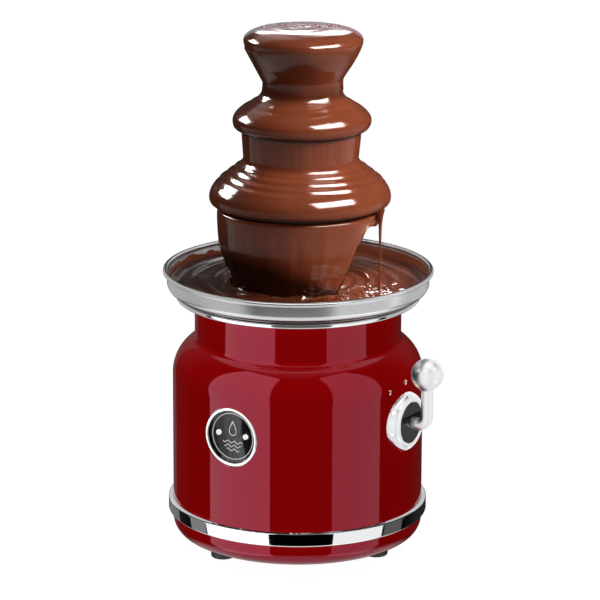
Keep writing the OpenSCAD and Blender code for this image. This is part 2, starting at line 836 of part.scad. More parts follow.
module cord_gland() {
    inner_l = 6;
    flange_t = 3;
    color(black) outwards(180, gland_z) difference() {
        union() {
            translate([0, 0, shell_in - inner_l]) cylinder(r = gland_r, h = inner_l + shell_wall + 0.5);
            difference() {
                translate([0, 0, shell_r - 2]) cylinder(r = gland_flange_r, h = 2 + flange_t);
                rotate([-90, 0, 0]) translate([0, 0, -gland_flange_r * 2])
                    cylinder(r = shell_r + slide_gap, h = gland_flange_r * 4);
            }
        }
        cylinder(r = gland_bore_d / 2, h = shell_r * 2);
    }
}

// Removes what would reach inside the housing wall
module outside_wall() {
    difference() {
        children();
        translate([0, 0, base_z]) cylinder(r = shell_r + slide_gap, h = housing_h);
    }
}

// The ring is pushed in from behind, up to its flange
module badge_ring() {
    lip = 0.8;
    back = badge_face_back - badge_ledge;
    flange_front = sqrt(shell_in ^ 2 - badge_flange_r ^ 2) - slide_gap;
    color(chrome) outwards(0, badge_z) rotate_extrude() polygon(concat(
        [[badge_in - 2, back], [badge_flange_r, back]],
        [[badge_flange_r, flange_front], [badge_r, flange_front]],
        arc([badge_r - lip, badge_front - lip], lip, 0, 90, 4),
        arc([badge_in + lip, badge_front - lip], lip, 90, 180, 4),
        [[badge_in, badge_face_back], [badge_in - 2, badge_face_back]]
    ));
}

module lamp_sites() {
    for (s = [-1, 1]) translate([s * lamp_spacing / 2, lamp_up, 0]) children();
}

module badge_face() {
    color(black) outwards(0, badge_z) difference() {
        translate([0, 0, badge_face_back]) cylinder(r = badge_in - slide_gap, h = badge_face_t);
        lamp_sites() cylinder(r = lamp_d / 2 + slide_gap, h = shell_r);
    }
}

module badge_lens() {
    color("white", 0.3) outwards(0, badge_z) difference() {
        translate([0, 0, badge_face_front]) cylinder(r = badge_in - slide_gap, h = badge_lens_t);
        lamp_sites() cylinder(r = lamp_d / 2 + slide_gap, h = shell_r);
    }
}

module badge_lamps() {
    color("white") outwards(0, badge_z) lamp_sites()
        translate([0, 0, badge_face_back - badge_ledge])
            cylinder(r = lamp_d / 2, h = badge_face_t + badge_lens_t + badge_ledge + 0.4);
}

module lamp_board() {
    color("darkgreen") outwards(0, badge_z)
        translate([0, 0, badge_face_back - badge_ledge - board_t]) cylinder(r = badge_in - 1, h = board_t);
}

module selector_bezel() {
    outer = bezel_d / 2;
    inner = dish_d / 2;
    color(chrome) outside_wall() outwards(90, control_z) rotate_extrude() polygon(concat(
        [[neck_bush_r + slide_gap, shell_r - 4], [outer, shell_r - 4]],
        curve([outer, shell_r + bezel_edge], [outer - 1, bezel_lip], [inner + 1.2, bezel_lip]),
        [[inner, bezel_lip - 0.8], [inner, bezel_floor], [neck_bush_r + slide_gap, bezel_floor]]
    ));
}

module selector_dish() {
    grip_w = 5;
    color(black) outwards(90, control_z) difference() {
        union() {
            translate([0, 0, dish_back]) cylinder(r = dish_d / 2 - slide_gap, h = dish_t);
            translate([0, 0, bezel_floor])
                ring(dish_d / 2 - slide_gap, switch_nut_r + skin_gap, dish_back - bezel_floor + 0.2);
        }
        cylinder(r = spindle_r + skin_gap, h = shell_r * 2);
        for (s = [-1, 1]) translate([s * (grip_w + dish_d / 4), 0, dish_back + dish_t - 0.4])
            cylinder(r = dish_d / 5, h = 2);
    }
}

module rotary_switch() {
    color("ivory") outwards(90, control_z) difference() {
        union() {
            translate([-switch_w / 2, -switch_w / 2, switch_back]) cube([switch_w, switch_w, switch_depth]);
            translate([0, 0, switch_front - 0.1]) cylinder(r = switch_flange_r, h = switch_flange_t + 0.1);
            translate([0, 0, switch_front]) cylinder(r = neck_bush_r, h = dish_back - 0.3 - switch_front);
        }
        translate([0, 0, switch_back + 4]) cylinder(r = spindle_r + run_gap, h = shell_r);
    }
}

module switch_nut() {
    color(brass) outwards(90, control_z) translate([0, 0, bezel_floor]) difference() {
        cylinder(r = switch_nut_r, h = dish_back - bezel_floor - 0.2, $fn = 6);
        translate([0, 0, -1]) cylinder(r = neck_bush_r + run_gap, h = bezel_proud);
    }
}

module switch_spindle() {
    color(steel) outwards(90, control_z) translate([0, 0, switch_back + 4])
        cylinder(r = spindle_r, h = heel_x + heel_bore_l - switch_back - 4);
}

// The lever stands upright in its rest position
module lever_arm() {
    rise = lever_len - ball_d / 2 + ball_bore_l;
    color(chrome) translate([0, 0, control_z]) difference() {
        union() {
            translate([heel_x, 0, 0]) rotate([0, 90, 0]) cylinder(r = arm_r, h = arm_x - bend_r - heel_x);
            translate([arm_x - bend_r, 0, bend_r]) rotate([90, 0, 0])
                rotate([0, 0, -90]) rotate_extrude(angle = 90) translate([bend_r, 0]) circle(r = arm_r);
            translate([arm_x, 0, bend_r]) cylinder(r = arm_r, h = rise - bend_r);
        }
        translate([heel_x - 1, 0, 0]) rotate([0, 90, 0])
            cylinder(r = spindle_r + run_gap, h = heel_bore_l + 1);
    }
}

module lever_ball() {
    color(chrome) translate([arm_x, 0, control_z + lever_len]) difference() {
        sphere(r = ball_d / 2);
        translate([0, 0, -ball_d]) cylinder(r = arm_r + run_gap, h = ball_d / 2 + ball_bore_l);
    }
}

module auger_rod() {
    color(resin) difference() {
        translate([0, 0, auger_z]) cylinder(r = rod_r, h = auger_top - auger_z);
        translate([0, 0, auger_z - 1]) cylinder(r = hex_r + slide_gap, h = hex_l + 1, $fn = 6);
    }
}

module auger_flight() {
    inner = rod_r + slide_gap;
    outer = auger_d / 2;
    height = auger_top - flight_z;
    turn = 360 * height / auger_pitch;
    width_a = 360 * flight_t / auger_pitch;
    color(resin) translate([0, 0, flight_z])
        linear_extrude(height, twist = -turn, slices = ceil(turn / 18), $fn = 8)
            polygon(concat(arc([0, 0], inner + 0.1, 0, width_a, 2), arc([0, 0], outer, width_a, 0, 4)));
}

module tower_tube() {
    slot_w = 22;
    color(resin) difference() {
        translate([0, 0, well_top]) rotate_extrude() polygon([
            [tube_in, 0], [sleeve_r, 0],
            [sleeve_r, lower_seat - well_top], [tube_r, lower_seat - well_top],
            [tube_r, tube_top - well_top], [tube_in, tube_top - well_top]
        ]);
        for (a = pillar_angles) rotate(a) translate([0, -slot_w / 2, well_top - 1])
            cube([sleeve_r * 2, slot_w, inlet_h + 1]);
    }
}

// Top of a domed tier from its sleeve to its rim, lifted by a gap
function dome(rim_r, rim_z0, rise, gap) = curve(
    [sleeve_r + gap, rim_z0 + rise + gap],
    [rim_r * 0.82 + gap, rim_z0 + rise * 0.93 + gap],
    [rim_r + gap, rim_z0]
);

module tier(rim_r, rim_z0, rise, from_z, to_z) {
    rotate_extrude() polygon(concat(
        [[sleeve_in, from_z], [sleeve_r, from_z]],
        dome(rim_r - tier_t, rim_z0, rise - tier_t, 0),
        [[rim_r - tier_t, rim_z0 - 1], [rim_r, rim_z0 - 1]],
        reversed(dome(rim_r, rim_z0, rise, 0)),
        [[sleeve_r, to_z], [sleeve_in, to_z]]
    ));
}

module lower_tier() {
    color(resin) tier(lower_r, lower_z, lower_dome, lower_seat, middle_seat);
}

module middle_tier() {
    color(resin) tier(middle_r, middle_z, middle_dome, middle_seat, crown_seat);
}

cup_foot = [sleeve_r, crown_z - crown_cup_h];
cup_brim = [crown_r, crown_z - 1.5];
module crown_cup() {
    color(resin) rotate_extrude() polygon(concat(
        [[sleeve_in, crown_seat], [sleeve_r, crown_seat], cup_foot],
        [cup_brim],
        arc(cup_brim - [tier_t / 2, 0], tier_t / 2, 0, 180, 6),
        [[sleeve_r, tube_top], [sleeve_in, tube_top]]
    ));
}

module chocolate_crown() {
    color(brown) rotate_extrude() polygon(concat(
        [[0, mound_z]],
        curve([crown_flow_r * 0.45, mound_z], [crown_flow_r * 0.93, mound_z], [crown_flow_r, crown_z + 4]),
        curve(
            [crown_flow_r, crown_z + 4], [crown_flow_r, crown_z - 1.5], [crown_flow_r - 7.2, crown_z - 13.5]
        ),
        curve([neck_r + 1.2, crown_z - 22.6], [neck_r - 0.2, crown_z - 25], [neck_r, neck_z]),
        [[sleeve_r + skin_gap, neck_z], cup_foot + [skin_gap, 0], cup_brim + [skin_gap, 0]],
        arc(cup_brim - [tier_t / 2, 0], tier_t / 2 + skin_gap, 0, 150, 6),
        [[sleeve_r, tube_top + skin_gap], [0, tube_top + skin_gap]]
    ));
}

// Outside of the chocolate over a tier, from its neck to the top of its curtain
function flow(r, z, neck, neck_top, lobe, lip) = concat(
    curve(
        [neck, neck_top], [neck, neck_top - neck_round * 0.8],
        [neck + neck_round, neck_top - neck_round * 1.44], 5
    ),
    curve([r - lobe, z + lobe * 1.5], [r, z + lobe * 0.73], [r, z]),
    curve([r, z], [r - lip * 0.05, z - lip * 0.62], [r - lip * 0.57, z - lip], 5)
);

neck_round = 5;
middle_flow_z = middle_z + 3;
middle_lip = 5.7;
middle_lobe = 6.7;
middle_hem = 1.5;
lower_flow_z = lower_z + 2.5;
lower_lip = 7.7;
lower_lobe = 11;
lower_hem = 1;

module chocolate_middle() {
    foot_z = landing_z + skin_gap;
    top = [middle_flow_r - middle_lip * 0.57, middle_flow_z - middle_lip];
    color(brown) rotate_extrude() polygon(concat(
        flow(middle_flow_r, middle_flow_z, neck_r, neck_z - skin_gap, middle_lobe, middle_lip),
        [[upper_curtain_r, foot_z], [upper_curtain_r - curtain_t, foot_z]],
        [[top[0] - curtain_t, middle_z - middle_hem - skin_gap]],
        [[middle_r + skin_gap, middle_z - middle_hem - skin_gap]],
        reversed(dome(middle_r, middle_z, middle_dome, skin_gap)),
        [[sleeve_r + skin_gap, neck_z - skin_gap]]
    ));
}

module chocolate_lower() {
    foot_z = pool_z + skin_gap;
    top = [lower_flow_r - lower_lip * 0.57, lower_flow_z - lower_lip];
    bend = top - [1.4, 14];
    foot_r = upper_curtain_r + 4;
    thread_r = thread_d / 2;
    thread_at = lower_flow_r - 2;
    thread_top = lower_flow_z - lower_lip * 0.45;
    corner = 8;
    color(brown) {
        difference() {
            rotate_extrude() polygon(concat(
                flow(lower_flow_r, lower_flow_z, upper_curtain_r, landing_z, lower_lobe, lower_lip),
                curve(bend, [bend[0] - 0.4, foot_z + 18], [foot_r, foot_z]),
                curve(
                    [foot_r - curtain_t, foot_z],
                    [bend[0] - 0.4 - curtain_t, foot_z + 18],
                    bend - [curtain_t, 0]
                ),
                [[top[0] - curtain_t, lower_z - lower_hem - skin_gap]],
                [[lower_r + skin_gap, lower_z - lower_hem - skin_gap]],
                reversed(dome(lower_r, lower_z, lower_dome, skin_gap)),
                [[sleeve_r + skin_gap, landing_z]]
            ));
            outwards(tear_azimuth, pool_z) {
                translate([-tear_w / 2, -1, 0]) cube([tear_w, tear_h - corner + 1, lower_flow_r]);
                translate([corner - tear_w / 2, 0, 0]) cube([tear_w - 2 * corner, tear_h, lower_flow_r]);
                for (s = [-1, 1]) translate([s * (tear_w / 2 - corner), tear_h - corner, 0])
                    cylinder(r = corner, h = lower_flow_r);
            }
        }
        rotate([0, 0, thread_azimuth - 90]) translate([thread_at, 0, foot_z])
            cylinder(r1 = thread_r, r2 = thread_r * 0.6, h = thread_top - foot_z);
    }
}

module chocolate_pool() {
    inner = sleeve_r + 2 * skin_gap;
    well_in = well_r - bowl_sheet - skin_gap;
    dish_top = seat_z + bowl_sheet + skin_gap;
    shore = wall_foot[0] - bowl_sheet - 2.5 * skin_gap;
    color(brown) rotate_extrude() polygon(concat(
        [[inner, well_top + skin_gap], [well_in - 3, well_top + skin_gap]],
        [[well_in, well_top + 3], [well_in, dish_top]],
        curve([dish_edge - 1, dish_top], [shore - 0.8, dish_top + 3.4], [shore, pool_z]),
        [[inner, pool_z]]
    ));
}

upper_shell();
lower_shell();
trim_band();
bottom_cover();
cover_screws();
base_screws();
foot(foot_angles[0]);  // foot_right
foot(foot_angles[1]);  // foot_rear
foot(foot_angles[2]);  // foot_front
frame_pillars();
pillar_screws();
motor_plate();
motor_can();
motor_end_cap();
motor_stator();
motor_screws();
motor_rotor();
motor_shaft();
motor_pinion();
gearbox_housing();
gearbox_cover();
gearbox_screws();
thrust_bush();
idler_pin();
idler_gear();
output_gear();
drive_shaft();
bowl();
seat_ring();
shaft_bush();
bush_nut();
shaft_seal();
heater_plate();
heater_tube();
thermostat();
thermal_fuse();
terminal_block();
cord_gland();
badge_ring();
badge_face();
badge_lens();
badge_lamps();
lamp_board();
selector_bezel();
selector_dish();
rotary_switch();
switch_nut();
switch_spindle();
lever_arm();
lever_ball();
auger_rod();
auger_flight();
tower_tube();
lower_tier();
middle_tier();
crown_cup();
chocolate_crown();
chocolate_middle();
chocolate_lower();
chocolate_pool();
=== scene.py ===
"""Looks of a tabletop chocolate fountain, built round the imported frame."""

import json
import math

import bpy
import numpy as np
from mathutils import Matrix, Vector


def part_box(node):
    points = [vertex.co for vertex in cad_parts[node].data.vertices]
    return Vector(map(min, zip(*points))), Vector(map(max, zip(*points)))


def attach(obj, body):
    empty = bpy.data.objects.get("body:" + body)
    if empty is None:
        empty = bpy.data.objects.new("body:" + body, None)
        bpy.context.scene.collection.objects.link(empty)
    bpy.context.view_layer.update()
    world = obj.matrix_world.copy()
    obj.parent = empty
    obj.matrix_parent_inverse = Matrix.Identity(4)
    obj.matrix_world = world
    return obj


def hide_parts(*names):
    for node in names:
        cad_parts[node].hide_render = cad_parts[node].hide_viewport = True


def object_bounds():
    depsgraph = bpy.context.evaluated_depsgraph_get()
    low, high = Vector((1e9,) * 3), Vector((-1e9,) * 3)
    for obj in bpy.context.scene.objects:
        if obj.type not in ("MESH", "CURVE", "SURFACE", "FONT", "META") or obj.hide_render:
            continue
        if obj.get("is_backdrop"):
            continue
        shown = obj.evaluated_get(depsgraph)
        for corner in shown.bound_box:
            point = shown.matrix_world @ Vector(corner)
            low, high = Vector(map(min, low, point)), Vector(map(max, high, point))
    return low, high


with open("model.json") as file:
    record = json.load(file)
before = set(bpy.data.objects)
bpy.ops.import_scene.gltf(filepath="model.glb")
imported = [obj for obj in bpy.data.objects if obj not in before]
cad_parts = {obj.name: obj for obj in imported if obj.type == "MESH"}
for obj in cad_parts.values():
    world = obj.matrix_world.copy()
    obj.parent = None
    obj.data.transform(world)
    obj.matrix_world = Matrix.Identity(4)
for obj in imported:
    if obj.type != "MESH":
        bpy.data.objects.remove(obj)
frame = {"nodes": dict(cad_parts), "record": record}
CAD_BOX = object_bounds()

bl_info = {
    "name": "Chocolate Fountain",
    "version": (1, 0, 0),
    "blender": (4, 5, 0),
    "location": "3D View > Sidebar > Fountain",
    "description": "Builds the visible pieces of a tabletop chocolate fountain round its frame",
    "category": "Add Mesh",
}

MM = 0.001
# Azimuth of the view, from the badge towards the lever
VIEW = math.radians(32.0)
FULL_TURN = math.tau
# Points closer together than this, in metres, become one
WELD = 2e-6

# Main heights and radii of the frame, in millimetres
SHELL_R = 93.3
COLLAR_R = 76.8
SLEEVE_R = 24.65
GLAND_Z = 56.5
CONTROL_Z = 110.2
BADGE_Z = 106.6
POOL_Z = 203.5
# Height of the curtain's foot, just over the pool
CURTAIN_FOOT = POOL_Z + 0.3
# Spacing of a flow's points along its outline
FLOW_STEP = 0.62
# Where the falling thread hangs, from the axis and from the view
THREAD_R = 65.0
THREAD_TURN = math.radians(67)
# How far the flow leans towards the lever's side for each unit of height
LEAN = 0.018
# How far it rises towards the view for each unit of reach
TILT = 0.02


# Outlines


def arc(centre, radius, start, stop, count=10):
    """Points on an arc about a centre, with its angles in degrees."""
    angles = np.radians(np.linspace(start, stop, count + 1))
    return [(centre[0] + radius * math.cos(a), centre[1] + radius * math.sin(a)) for a in angles]


def curve(a, b, c, count=12):
    """Points on a quadratic curve from a to c, drawn towards b."""
    a, b, c = np.array(a), np.array(b), np.array(c)
    steps = np.linspace(0, 1, count + 1)
    return [tuple((1 - t) ** 2 * a + 2 * t * (1 - t) * b + t**2 * c) for t in steps]


def bends(*points):
    """A line of quadratic curves through every second point, each drawn towards the one between."""
    return joined(*(curve(*span) for span in zip(points[::2], points[1::2], points[2::2])))


def even(points, spacing):
    """The same line with points at an even spacing."""
    line = np.array(points, float)
    runs = np.hypot(*np.diff(line, axis=0).T)
    along = np.concatenate([[0], np.cumsum(runs)])
    count = max(1, int(round(along[-1] / spacing)))
    at = np.linspace(0, along[-1], count + 1)
    return list(zip(np.interp(at, along, line[:, 0]), np.interp(at, along, line[:, 1])))


def joined(*lines):
    """One outline from several lines, without the points that repeat."""
    out = []
    for line in lines:
        for point in line:
            if not out or math.dist(point, out[-1]) > 1e-4:
                out.append(tuple(point))
    return out


# Modelling


def deselect_all():
    if bpy.context.object and bpy.context.object.mode != "OBJECT":
        bpy.ops.object.mode_set(mode="OBJECT")
    bpy.ops.object.select_all(action="DESELECT")


def select_only(piece):
    deselect_all()
    piece.select_set(True)
    bpy.context.view_layer.objects.active = piece


def named(name):
    """The object that was just made, under its name."""
    piece = bpy.context.object
    piece.name = piece.data.name = name
    return piece


def turned(name, outline, steps=192, sharp=32.0):
    """A piece turned about Z from an outline of radius and height, in millimetres."""
    deselect_all()
    bpy.ops.mesh.primitive_plane_add(size=MM)
    piece = named(name)
    bpy.ops.object.mode_set(mode="EDIT")
    bpy.ops.mesh.select_all(action="SELECT")
    bpy.ops.mesh.merge(type="CENTER")
    bpy.ops.transform.translate(value=(outline[0][0] * MM, 0, outline[0][1] * MM))
    for (r0, z0), (r1, z1) in zip(outline, outline[1:]):
        step = ((r1 - r0) * MM, 0, (z1 - z0) * MM)
        bpy.ops.mesh.extrude_region_move(TRANSFORM_OT_translate={"value": step})
    bpy.ops.mesh.select_all(action="SELECT")
    bpy.ops.mesh.spin(steps=steps, angle=FULL_TURN, center=(0, 0, 0), axis=(0, 0, 1))
    close_mesh(sharp)
    return piece


def poured(name, outline, steps):
    """A closely meshed piece of flow round Z: a grid rolled up along an outline in millimetres."""
    deselect_all()
    rows = len(outline) - 1
    bpy.ops.mesh.primitive_grid_add(x_subdivisions=rows, y_subdivisions=steps, size=1)
    piece = named(name)
    line = np.array(outline)

    def roll(x, y, _):
        row = np.rint((x * MM + 0.5) * rows).astype(int)
        turn = (y * MM + 0.5) * FULL_TURN
        return line[row, 0] * np.sin(turn), -line[row, 0] * np.cos(turn), line[row, 1]

    reshaped(piece, roll)
    bpy.ops.object.mode_set(mode="EDIT")
    close_mesh(60.0)
    return piece


def close_mesh(sharp):
    """Joins what meets, turns all faces outwards, leaves edit mode and smooths all but sharp edges."""
    bpy.ops.mesh.select_all(action="SELECT")
    bpy.ops.mesh.remove_doubles(threshold=WELD)
    bpy.ops.mesh.normals_make_consistent(inside=False)
    bpy.ops.object.mode_set(mode="OBJECT")
    bpy.ops.object.shade_smooth_by_angle(angle=math.radians(sharp))


def placed(piece, location=(0, 0, 0), rotation=(0, 0, 0)):
    """Moves a piece, in millimetres and degrees, and puts its place in its mesh."""
    select_only(piece)
    piece.location = [v * MM for v in location]
    piece.rotation_euler = [math.radians(v) for v in rotation]
    bpy.ops.object.transform_apply(location=True, rotation=True, scale=True)
    return piece


def on_wall(piece, azimuth, height):
    """Turns a piece's +Z to point out of the housing, at an azimuth from the badge."""
    return placed(piece, (0, 0, height), (90, 0, azimuth))


def apply_modifier(piece, kind, **settings):
    select_only(piece)
    modifier = piece.modifiers.new(kind.title(), kind)
    for key, value in settings.items():
        setattr(modifier, key, value)
    bpy.ops.object.modifier_apply(modifier=modifier.name)


def bored(piece, radius, azimuth, height):
    """Cuts a round hole through one side of a turned wall."""
    near, far = 40, 140
    cutter = turned("cutter", [(0, near), (radius, near), (radius, far), (0, far)], 96)
    on_wall(cutter, azimuth, height)
    apply_modifier(piece, "BOOLEAN", operation="DIFFERENCE", object=cutter, solver="EXACT")
    bpy.data.objects.remove(cutter)


def reshaped(piece, rule):
    """Moves a piece's points by a rule on arrays of x, y and z in millimetres."""
    piece.data.vertices.foreach_set("co", np.stack(rule(*points_of(piece)), 1).ravel() * MM)
    piece.data.update()
    return piece


def points_of(piece):
    """Arrays of a piece's x, y and z in millimetres."""
    flat = np.empty(len(piece.data.vertices) * 3)
    piece.data.vertices.foreach_get("co", flat)
    return flat.reshape(-1, 3).T / MM


def mark(piece, name, values):
    """Stores a value for each point of a piece, for its material."""
    made = piece.data.attributes.new(name, "FLOAT", "POINT")
    made.data.foreach_set("value", values.astype(np.float32))


def polar(x, y):
    """Radius, and azimuth from the view's direction."""
    return np.hypot(x, y), np.arctan2(x, -y) - VIEW


def in_degrees(turn):
    """An azimuth in degrees, from -180 to 180."""
    return np.degrees(np.mod(turn + math.pi, FULL_TURN) - math.pi)


def from_polar(r, turn, z):
    return r * np.sin(turn + VIEW), -r * np.cos(turn + VIEW), z


def leaned(x, y, z):
    """Carries a flow over to one side as it rises, and lifts it a little towards the view."""
    aside = LEAN * (z - POOL_Z)
    ahead = x * math.sin(VIEW) - y * math.cos(VIEW)
    lift = TILT * ahead * smooth(POOL_Z + 4, POOL_Z + 60, z)
    return x + aside * math.cos(VIEW), y + aside * math.sin(VIEW), z + lift


def smooth(low, high, value):
    """A soft step from 0 at low to 1 at high."""
    t = np.clip((value - low) / (high - low), 0, 1)
    return t * t * (3 - 2 * t)


def hump(value, rise, fall):
    """A soft step up between two values and down again between two more."""
    return smooth(*rise, value) * (1 - smooth(*fall, value))


def waves(turn, along, table):
    """Sum of waves round a piece, each with a height, a count, a slant and a phase."""
    return sum(h * np.sin(n * turn + slant * along + phase) for h, n, slant, phase in table)


def dressed(piece, body, material, slot, *nodes):
    """Gives a piece its material and its body, and hides the frame's nodes that it stands for."""
    piece.data.materials.clear()
    piece.data.materials.append(material)
    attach(piece, body)
    if nodes:
        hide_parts(*nodes)
    return piece


# Materials


def add_node(tree, kind, inputs=None, **settings):
    """Adds a node, sets it up, and fills or links its inputs."""
    node = tree.nodes.new(kind)
    for key, value in settings.items():
        setattr(node, key, value)
    for key, value in (inputs or {}).items():
        if isinstance(value, bpy.types.NodeSocket):
            tree.links.new(value, node.inputs[key])
        else:
            node.inputs[key].default_value = value
    return node


def math_node(tree, operation, a, b=0.0, c=0.0, clamp=False):
    inputs = {0: a, 1: b, 2: c}
    return add_node(tree, "ShaderNodeMath", inputs, operation=operation, use_clamp=clamp).outputs[0]


def ramp_between(tree, value, low, high, from_value=0.0, to_value=1.0):
    """A soft step of a value, as a socket."""
    inputs = {"Value": value, 1: low, 2: high, 3: from_value, 4: to_value}
    return add_node(tree, "ShaderNodeMapRange", inputs, interpolation_type="SMOOTHSTEP").outputs[0]


def noise_node(tree, scale, detail=3.0, distortion=0.0, place=None):
    """Noise over an object's own place, or over another place."""
    if place is None:
        place = tree.nodes.new("ShaderNodeTexCoord").outputs["Object"]
    inputs = {"Vector": place, "Scale": scale, "Detail": detail, "Distortion": distortion}
    return add_node(tree, "ShaderNodeTexNoise", inputs).outputs["Fac"]


class Effect:
    """A node group under construction, for an effect that materials share."""

    def __init__(self, name, *results):
        self.tree = bpy.data.node_groups.new(name, "ShaderNodeTree")
        sides = {"INPUT": ("Scale", "Roughness", "Spread"), "OUTPUT": ("Roughness", *results)}
        for side, sockets in sides.items():
            for socket in sockets:
                self.tree.interface.new_socket(socket, in_out=side, socket_type="NodeSocketFloat")
        self.given = self.tree.nodes.new("NodeGroupInput").outputs
        self.out = self.tree.nodes.new("NodeGroupOutput").inputs

    def done(self, uneven, **results):
        """Gives out the results, and a roughness that follows an uneven value."""
        given = self.given
        rough = math_node(self.tree, "MULTIPLY_ADD", uneven, given["Spread"], given["Roughness"])
        for socket, value in {"Roughness": rough, **results}.items():
            self.tree.links.new(value, self.out[socket])
        return self.tree


def grain_group():
    """Fine unevenness of moulded, cast or painted surfaces."""
    effect = Effect("Fine Grain", "Height")
    fine = noise_node(effect.tree, effect.given["Scale"])
    both = math_node(effect.tree, "ADD", fine, noise_node(effect.tree, 38.0, 2.0))
    return effect.done(math_node(effect.tree, "SUBTRACT", both, 1.0), Height=fine)


def brushing_group():
    """Fine rings that a turning tool or a brush leaves round the axis."""
    effect = Effect("Turned Brushing", "Height", "Shade")
    tree = effect.tree
    place = tree.nodes.new("ShaderNodeTexCoord").outputs["Object"]
    parts = add_node(tree, "ShaderNodeSeparateXYZ", {0: place}).outputs
    squares = math_node(tree, "MULTIPLY", parts["X"], parts["X"])
    radius = math_node(tree, "SQRT", math_node(tree, "MULTIPLY_ADD", parts["Y"], parts["Y"], squares))
    turn = math_node(tree, "ARCTAN2", parts["Y"], parts["X"])
    drift = math_node(tree, "SINE", math_node(tree, "MULTIPLY", turn, 3.0))
    slow_turn = math_node(tree, "MULTIPLY", drift, 0.0006)
    line = add_node(tree, "ShaderNodeCombineXYZ", {0: radius, 1: slow_turn, 2: parts["Z"]}).outputs[0]
    rings = noise_node(tree, effect.given["Scale"], 4.0, place=line)
    centred = math_node(tree, "SUBTRACT", rings, 0.5)
    return effect.done(centred, Height=rings, Shade=math_node(tree, "MULTIPLY_ADD", centred, 0.35, 1.0))


def smudge_group():
    """Faint cloudy handling marks on polished surfaces."""
    effect = Effect("Handling Marks", "Height")
    cloud = noise_node(effect.tree, effect.given["Scale"], 5.0, 0.8)
    return effect.done(ramp_between(effect.tree, cloud, 0.52, 0.78), Height=cloud)


class Finish:
    """A material under construction."""

    groups = {}

    def __init__(self, name, **constants):
        self.material = bpy.data.materials.new(name)
        self.material.use_nodes = True
        self.tree = self.material.node_tree
        self.bsdf = self.tree.nodes["Principled BSDF"]
        for key, value in constants.items():
            self.set(key.replace("_", " "), value)

    def set(self, socket, value):
        if isinstance(value, bpy.types.NodeSocket):
            self.tree.links.new(value, self.bsdf.inputs[socket])
        else:
            self.bsdf.inputs[socket].default_value = value

    def effect(self, make, scale, roughness, spread):
        """Places a shared effect, built the first time it is asked for."""
        if make.__name__ not in Finish.groups:
            Finish.groups[make.__name__] = make()
        node = self.tree.nodes.new("ShaderNodeGroup")
        node.node_tree = Finish.groups[make.__name__]
        for key, value in (("Scale", scale), ("Roughness", roughness), ("Spread", spread)):
            node.inputs[key].default_value = value
        return node.outputs

    def roughened(self, *effect):
        """Places a shared effect and takes its roughness."""
        results = self.effect(*effect)
        self.set("Roughness", results["Roughness"])
        return results

    def tinted(self, factor, colour, low, high):
        """Varies a colour between two shades of it."""
        self.set("Base Color", self.mixed(factor, shade(colour, low), shade(colour, high)))

    def bump(self, height, strength, distance):
        node = add_node(
            self.tree, "ShaderNodeBump", {"Height": height, "Strength": strength, "Distance": distance}
        )
        self.set("Normal", node.outputs[0])

    def marked(self, name):
        """The value that a piece stores for each of its points."""
        return add_node(self.tree, "ShaderNodeAttribute", attribute_name=name).outputs["Fac"]

    def mixed(self, factor, a, b):
        """A colour between two colours."""
        node = add_node(self.tree, "ShaderNodeMix", {0: factor}, data_type="RGBA")
        for index, value in ((6, a), (7, b)):
            if isinstance(value, bpy.types.NodeSocket):
                self.tree.links.new(value, node.inputs[index])
            else:
                node.inputs[index].default_value = (*value[:3], 1)
        return node.outputs[2]


def shade(colour, factor):
    return tuple(min(1.0, c * factor) for c in colour[:3])


def grained(name, colour, roughness, spread=0.12, scale=900.0, bump=0.06, metallic=0.0):
    """Moulded plastic, rubber, ceramic or cast metal, with a fine uneven surface."""
    finish = Finish(name, Metallic=metallic)
    marks = finish.roughened(grain_group, scale, roughness, spread)
    finish.tinted(noise_node(finish.tree, 60.0), colour, 0.9, 1.1)
    finish.bump(marks["Height"], bump, 0.0004)
    return finish.material


def polished(name, colour, roughness, spread):
    """Chrome, with faint handling marks."""
    finish = Finish(name, Metallic=1.0)
    marks = finish.roughened(smudge_group, 24.0, roughness, spread)
    finish.tinted(marks["Height"], colour, 0.97, 1.03)
    return finish.material


def brushed(name, colour, roughness):
    """Metal with fine rings round the axis."""
    finish = Finish(name, Metallic=1.0)
    rings = finish.roughened(brushing_group, 2600.0, roughness, 0.2)
    finish.tinted(rings["Shade"], colour, 0.3, 1.0)
    finish.bump(rings["Height"], 0.04, 0.0002)
    return finish.material


def lacquer_finish(name, colour):
    """Deep gloss lacquer, whose reflections take on some of its red."""
    finish = Finish(name, IOR=1.85, Specular_Tint=(1.0, 0.25, 0.4, 1))
    marks = finish.roughened(smudge_group, 7.0, 0.045, 0.05)
    finish.tinted(marks["Height"], colour, 0.96, 1.04)
    grain = finish.effect(grain_group, 160.0, 0.1, 0.0)
    finish.bump(grain["Height"], 0.012, 0.0006)
    return finish.material


def chocolate_finish(colours):
    """Wet chocolate, amber where it is thin, and darkened to a near-black brown as painted shade where a
    piece marks it shaded.
    """
    finish = Finish("wet chocolate", IOR=1.45, Specular_IOR_Level=0.32)
    tree = finish.tree
    streaks = ramp_between(tree, noise_node(tree, 26.0, distortion=1.4), 0.3, 0.7)
    brown = finish.mixed(streaks, colours.chocolate_deep, colours.chocolate)
    brown = finish.mixed(finish.marked("thin"), brown, colours.chocolate_thin)
    # Painted shade: where a piece marks it shaded, the brown turns near-black, standing in for shadow under
    # the lips, at the curtain's foot and over the pool.
    finish.set("Base Color", finish.mixed(finish.marked("deep"), brown, shade(colours.chocolate_deep, 0.12)))
    finish.roughened(smudge_group, 55.0, 0.12, 0.08)
    finish.bump(noise_node(tree, 180.0, 2.0), 0.05, 0.0006)
    return finish.material


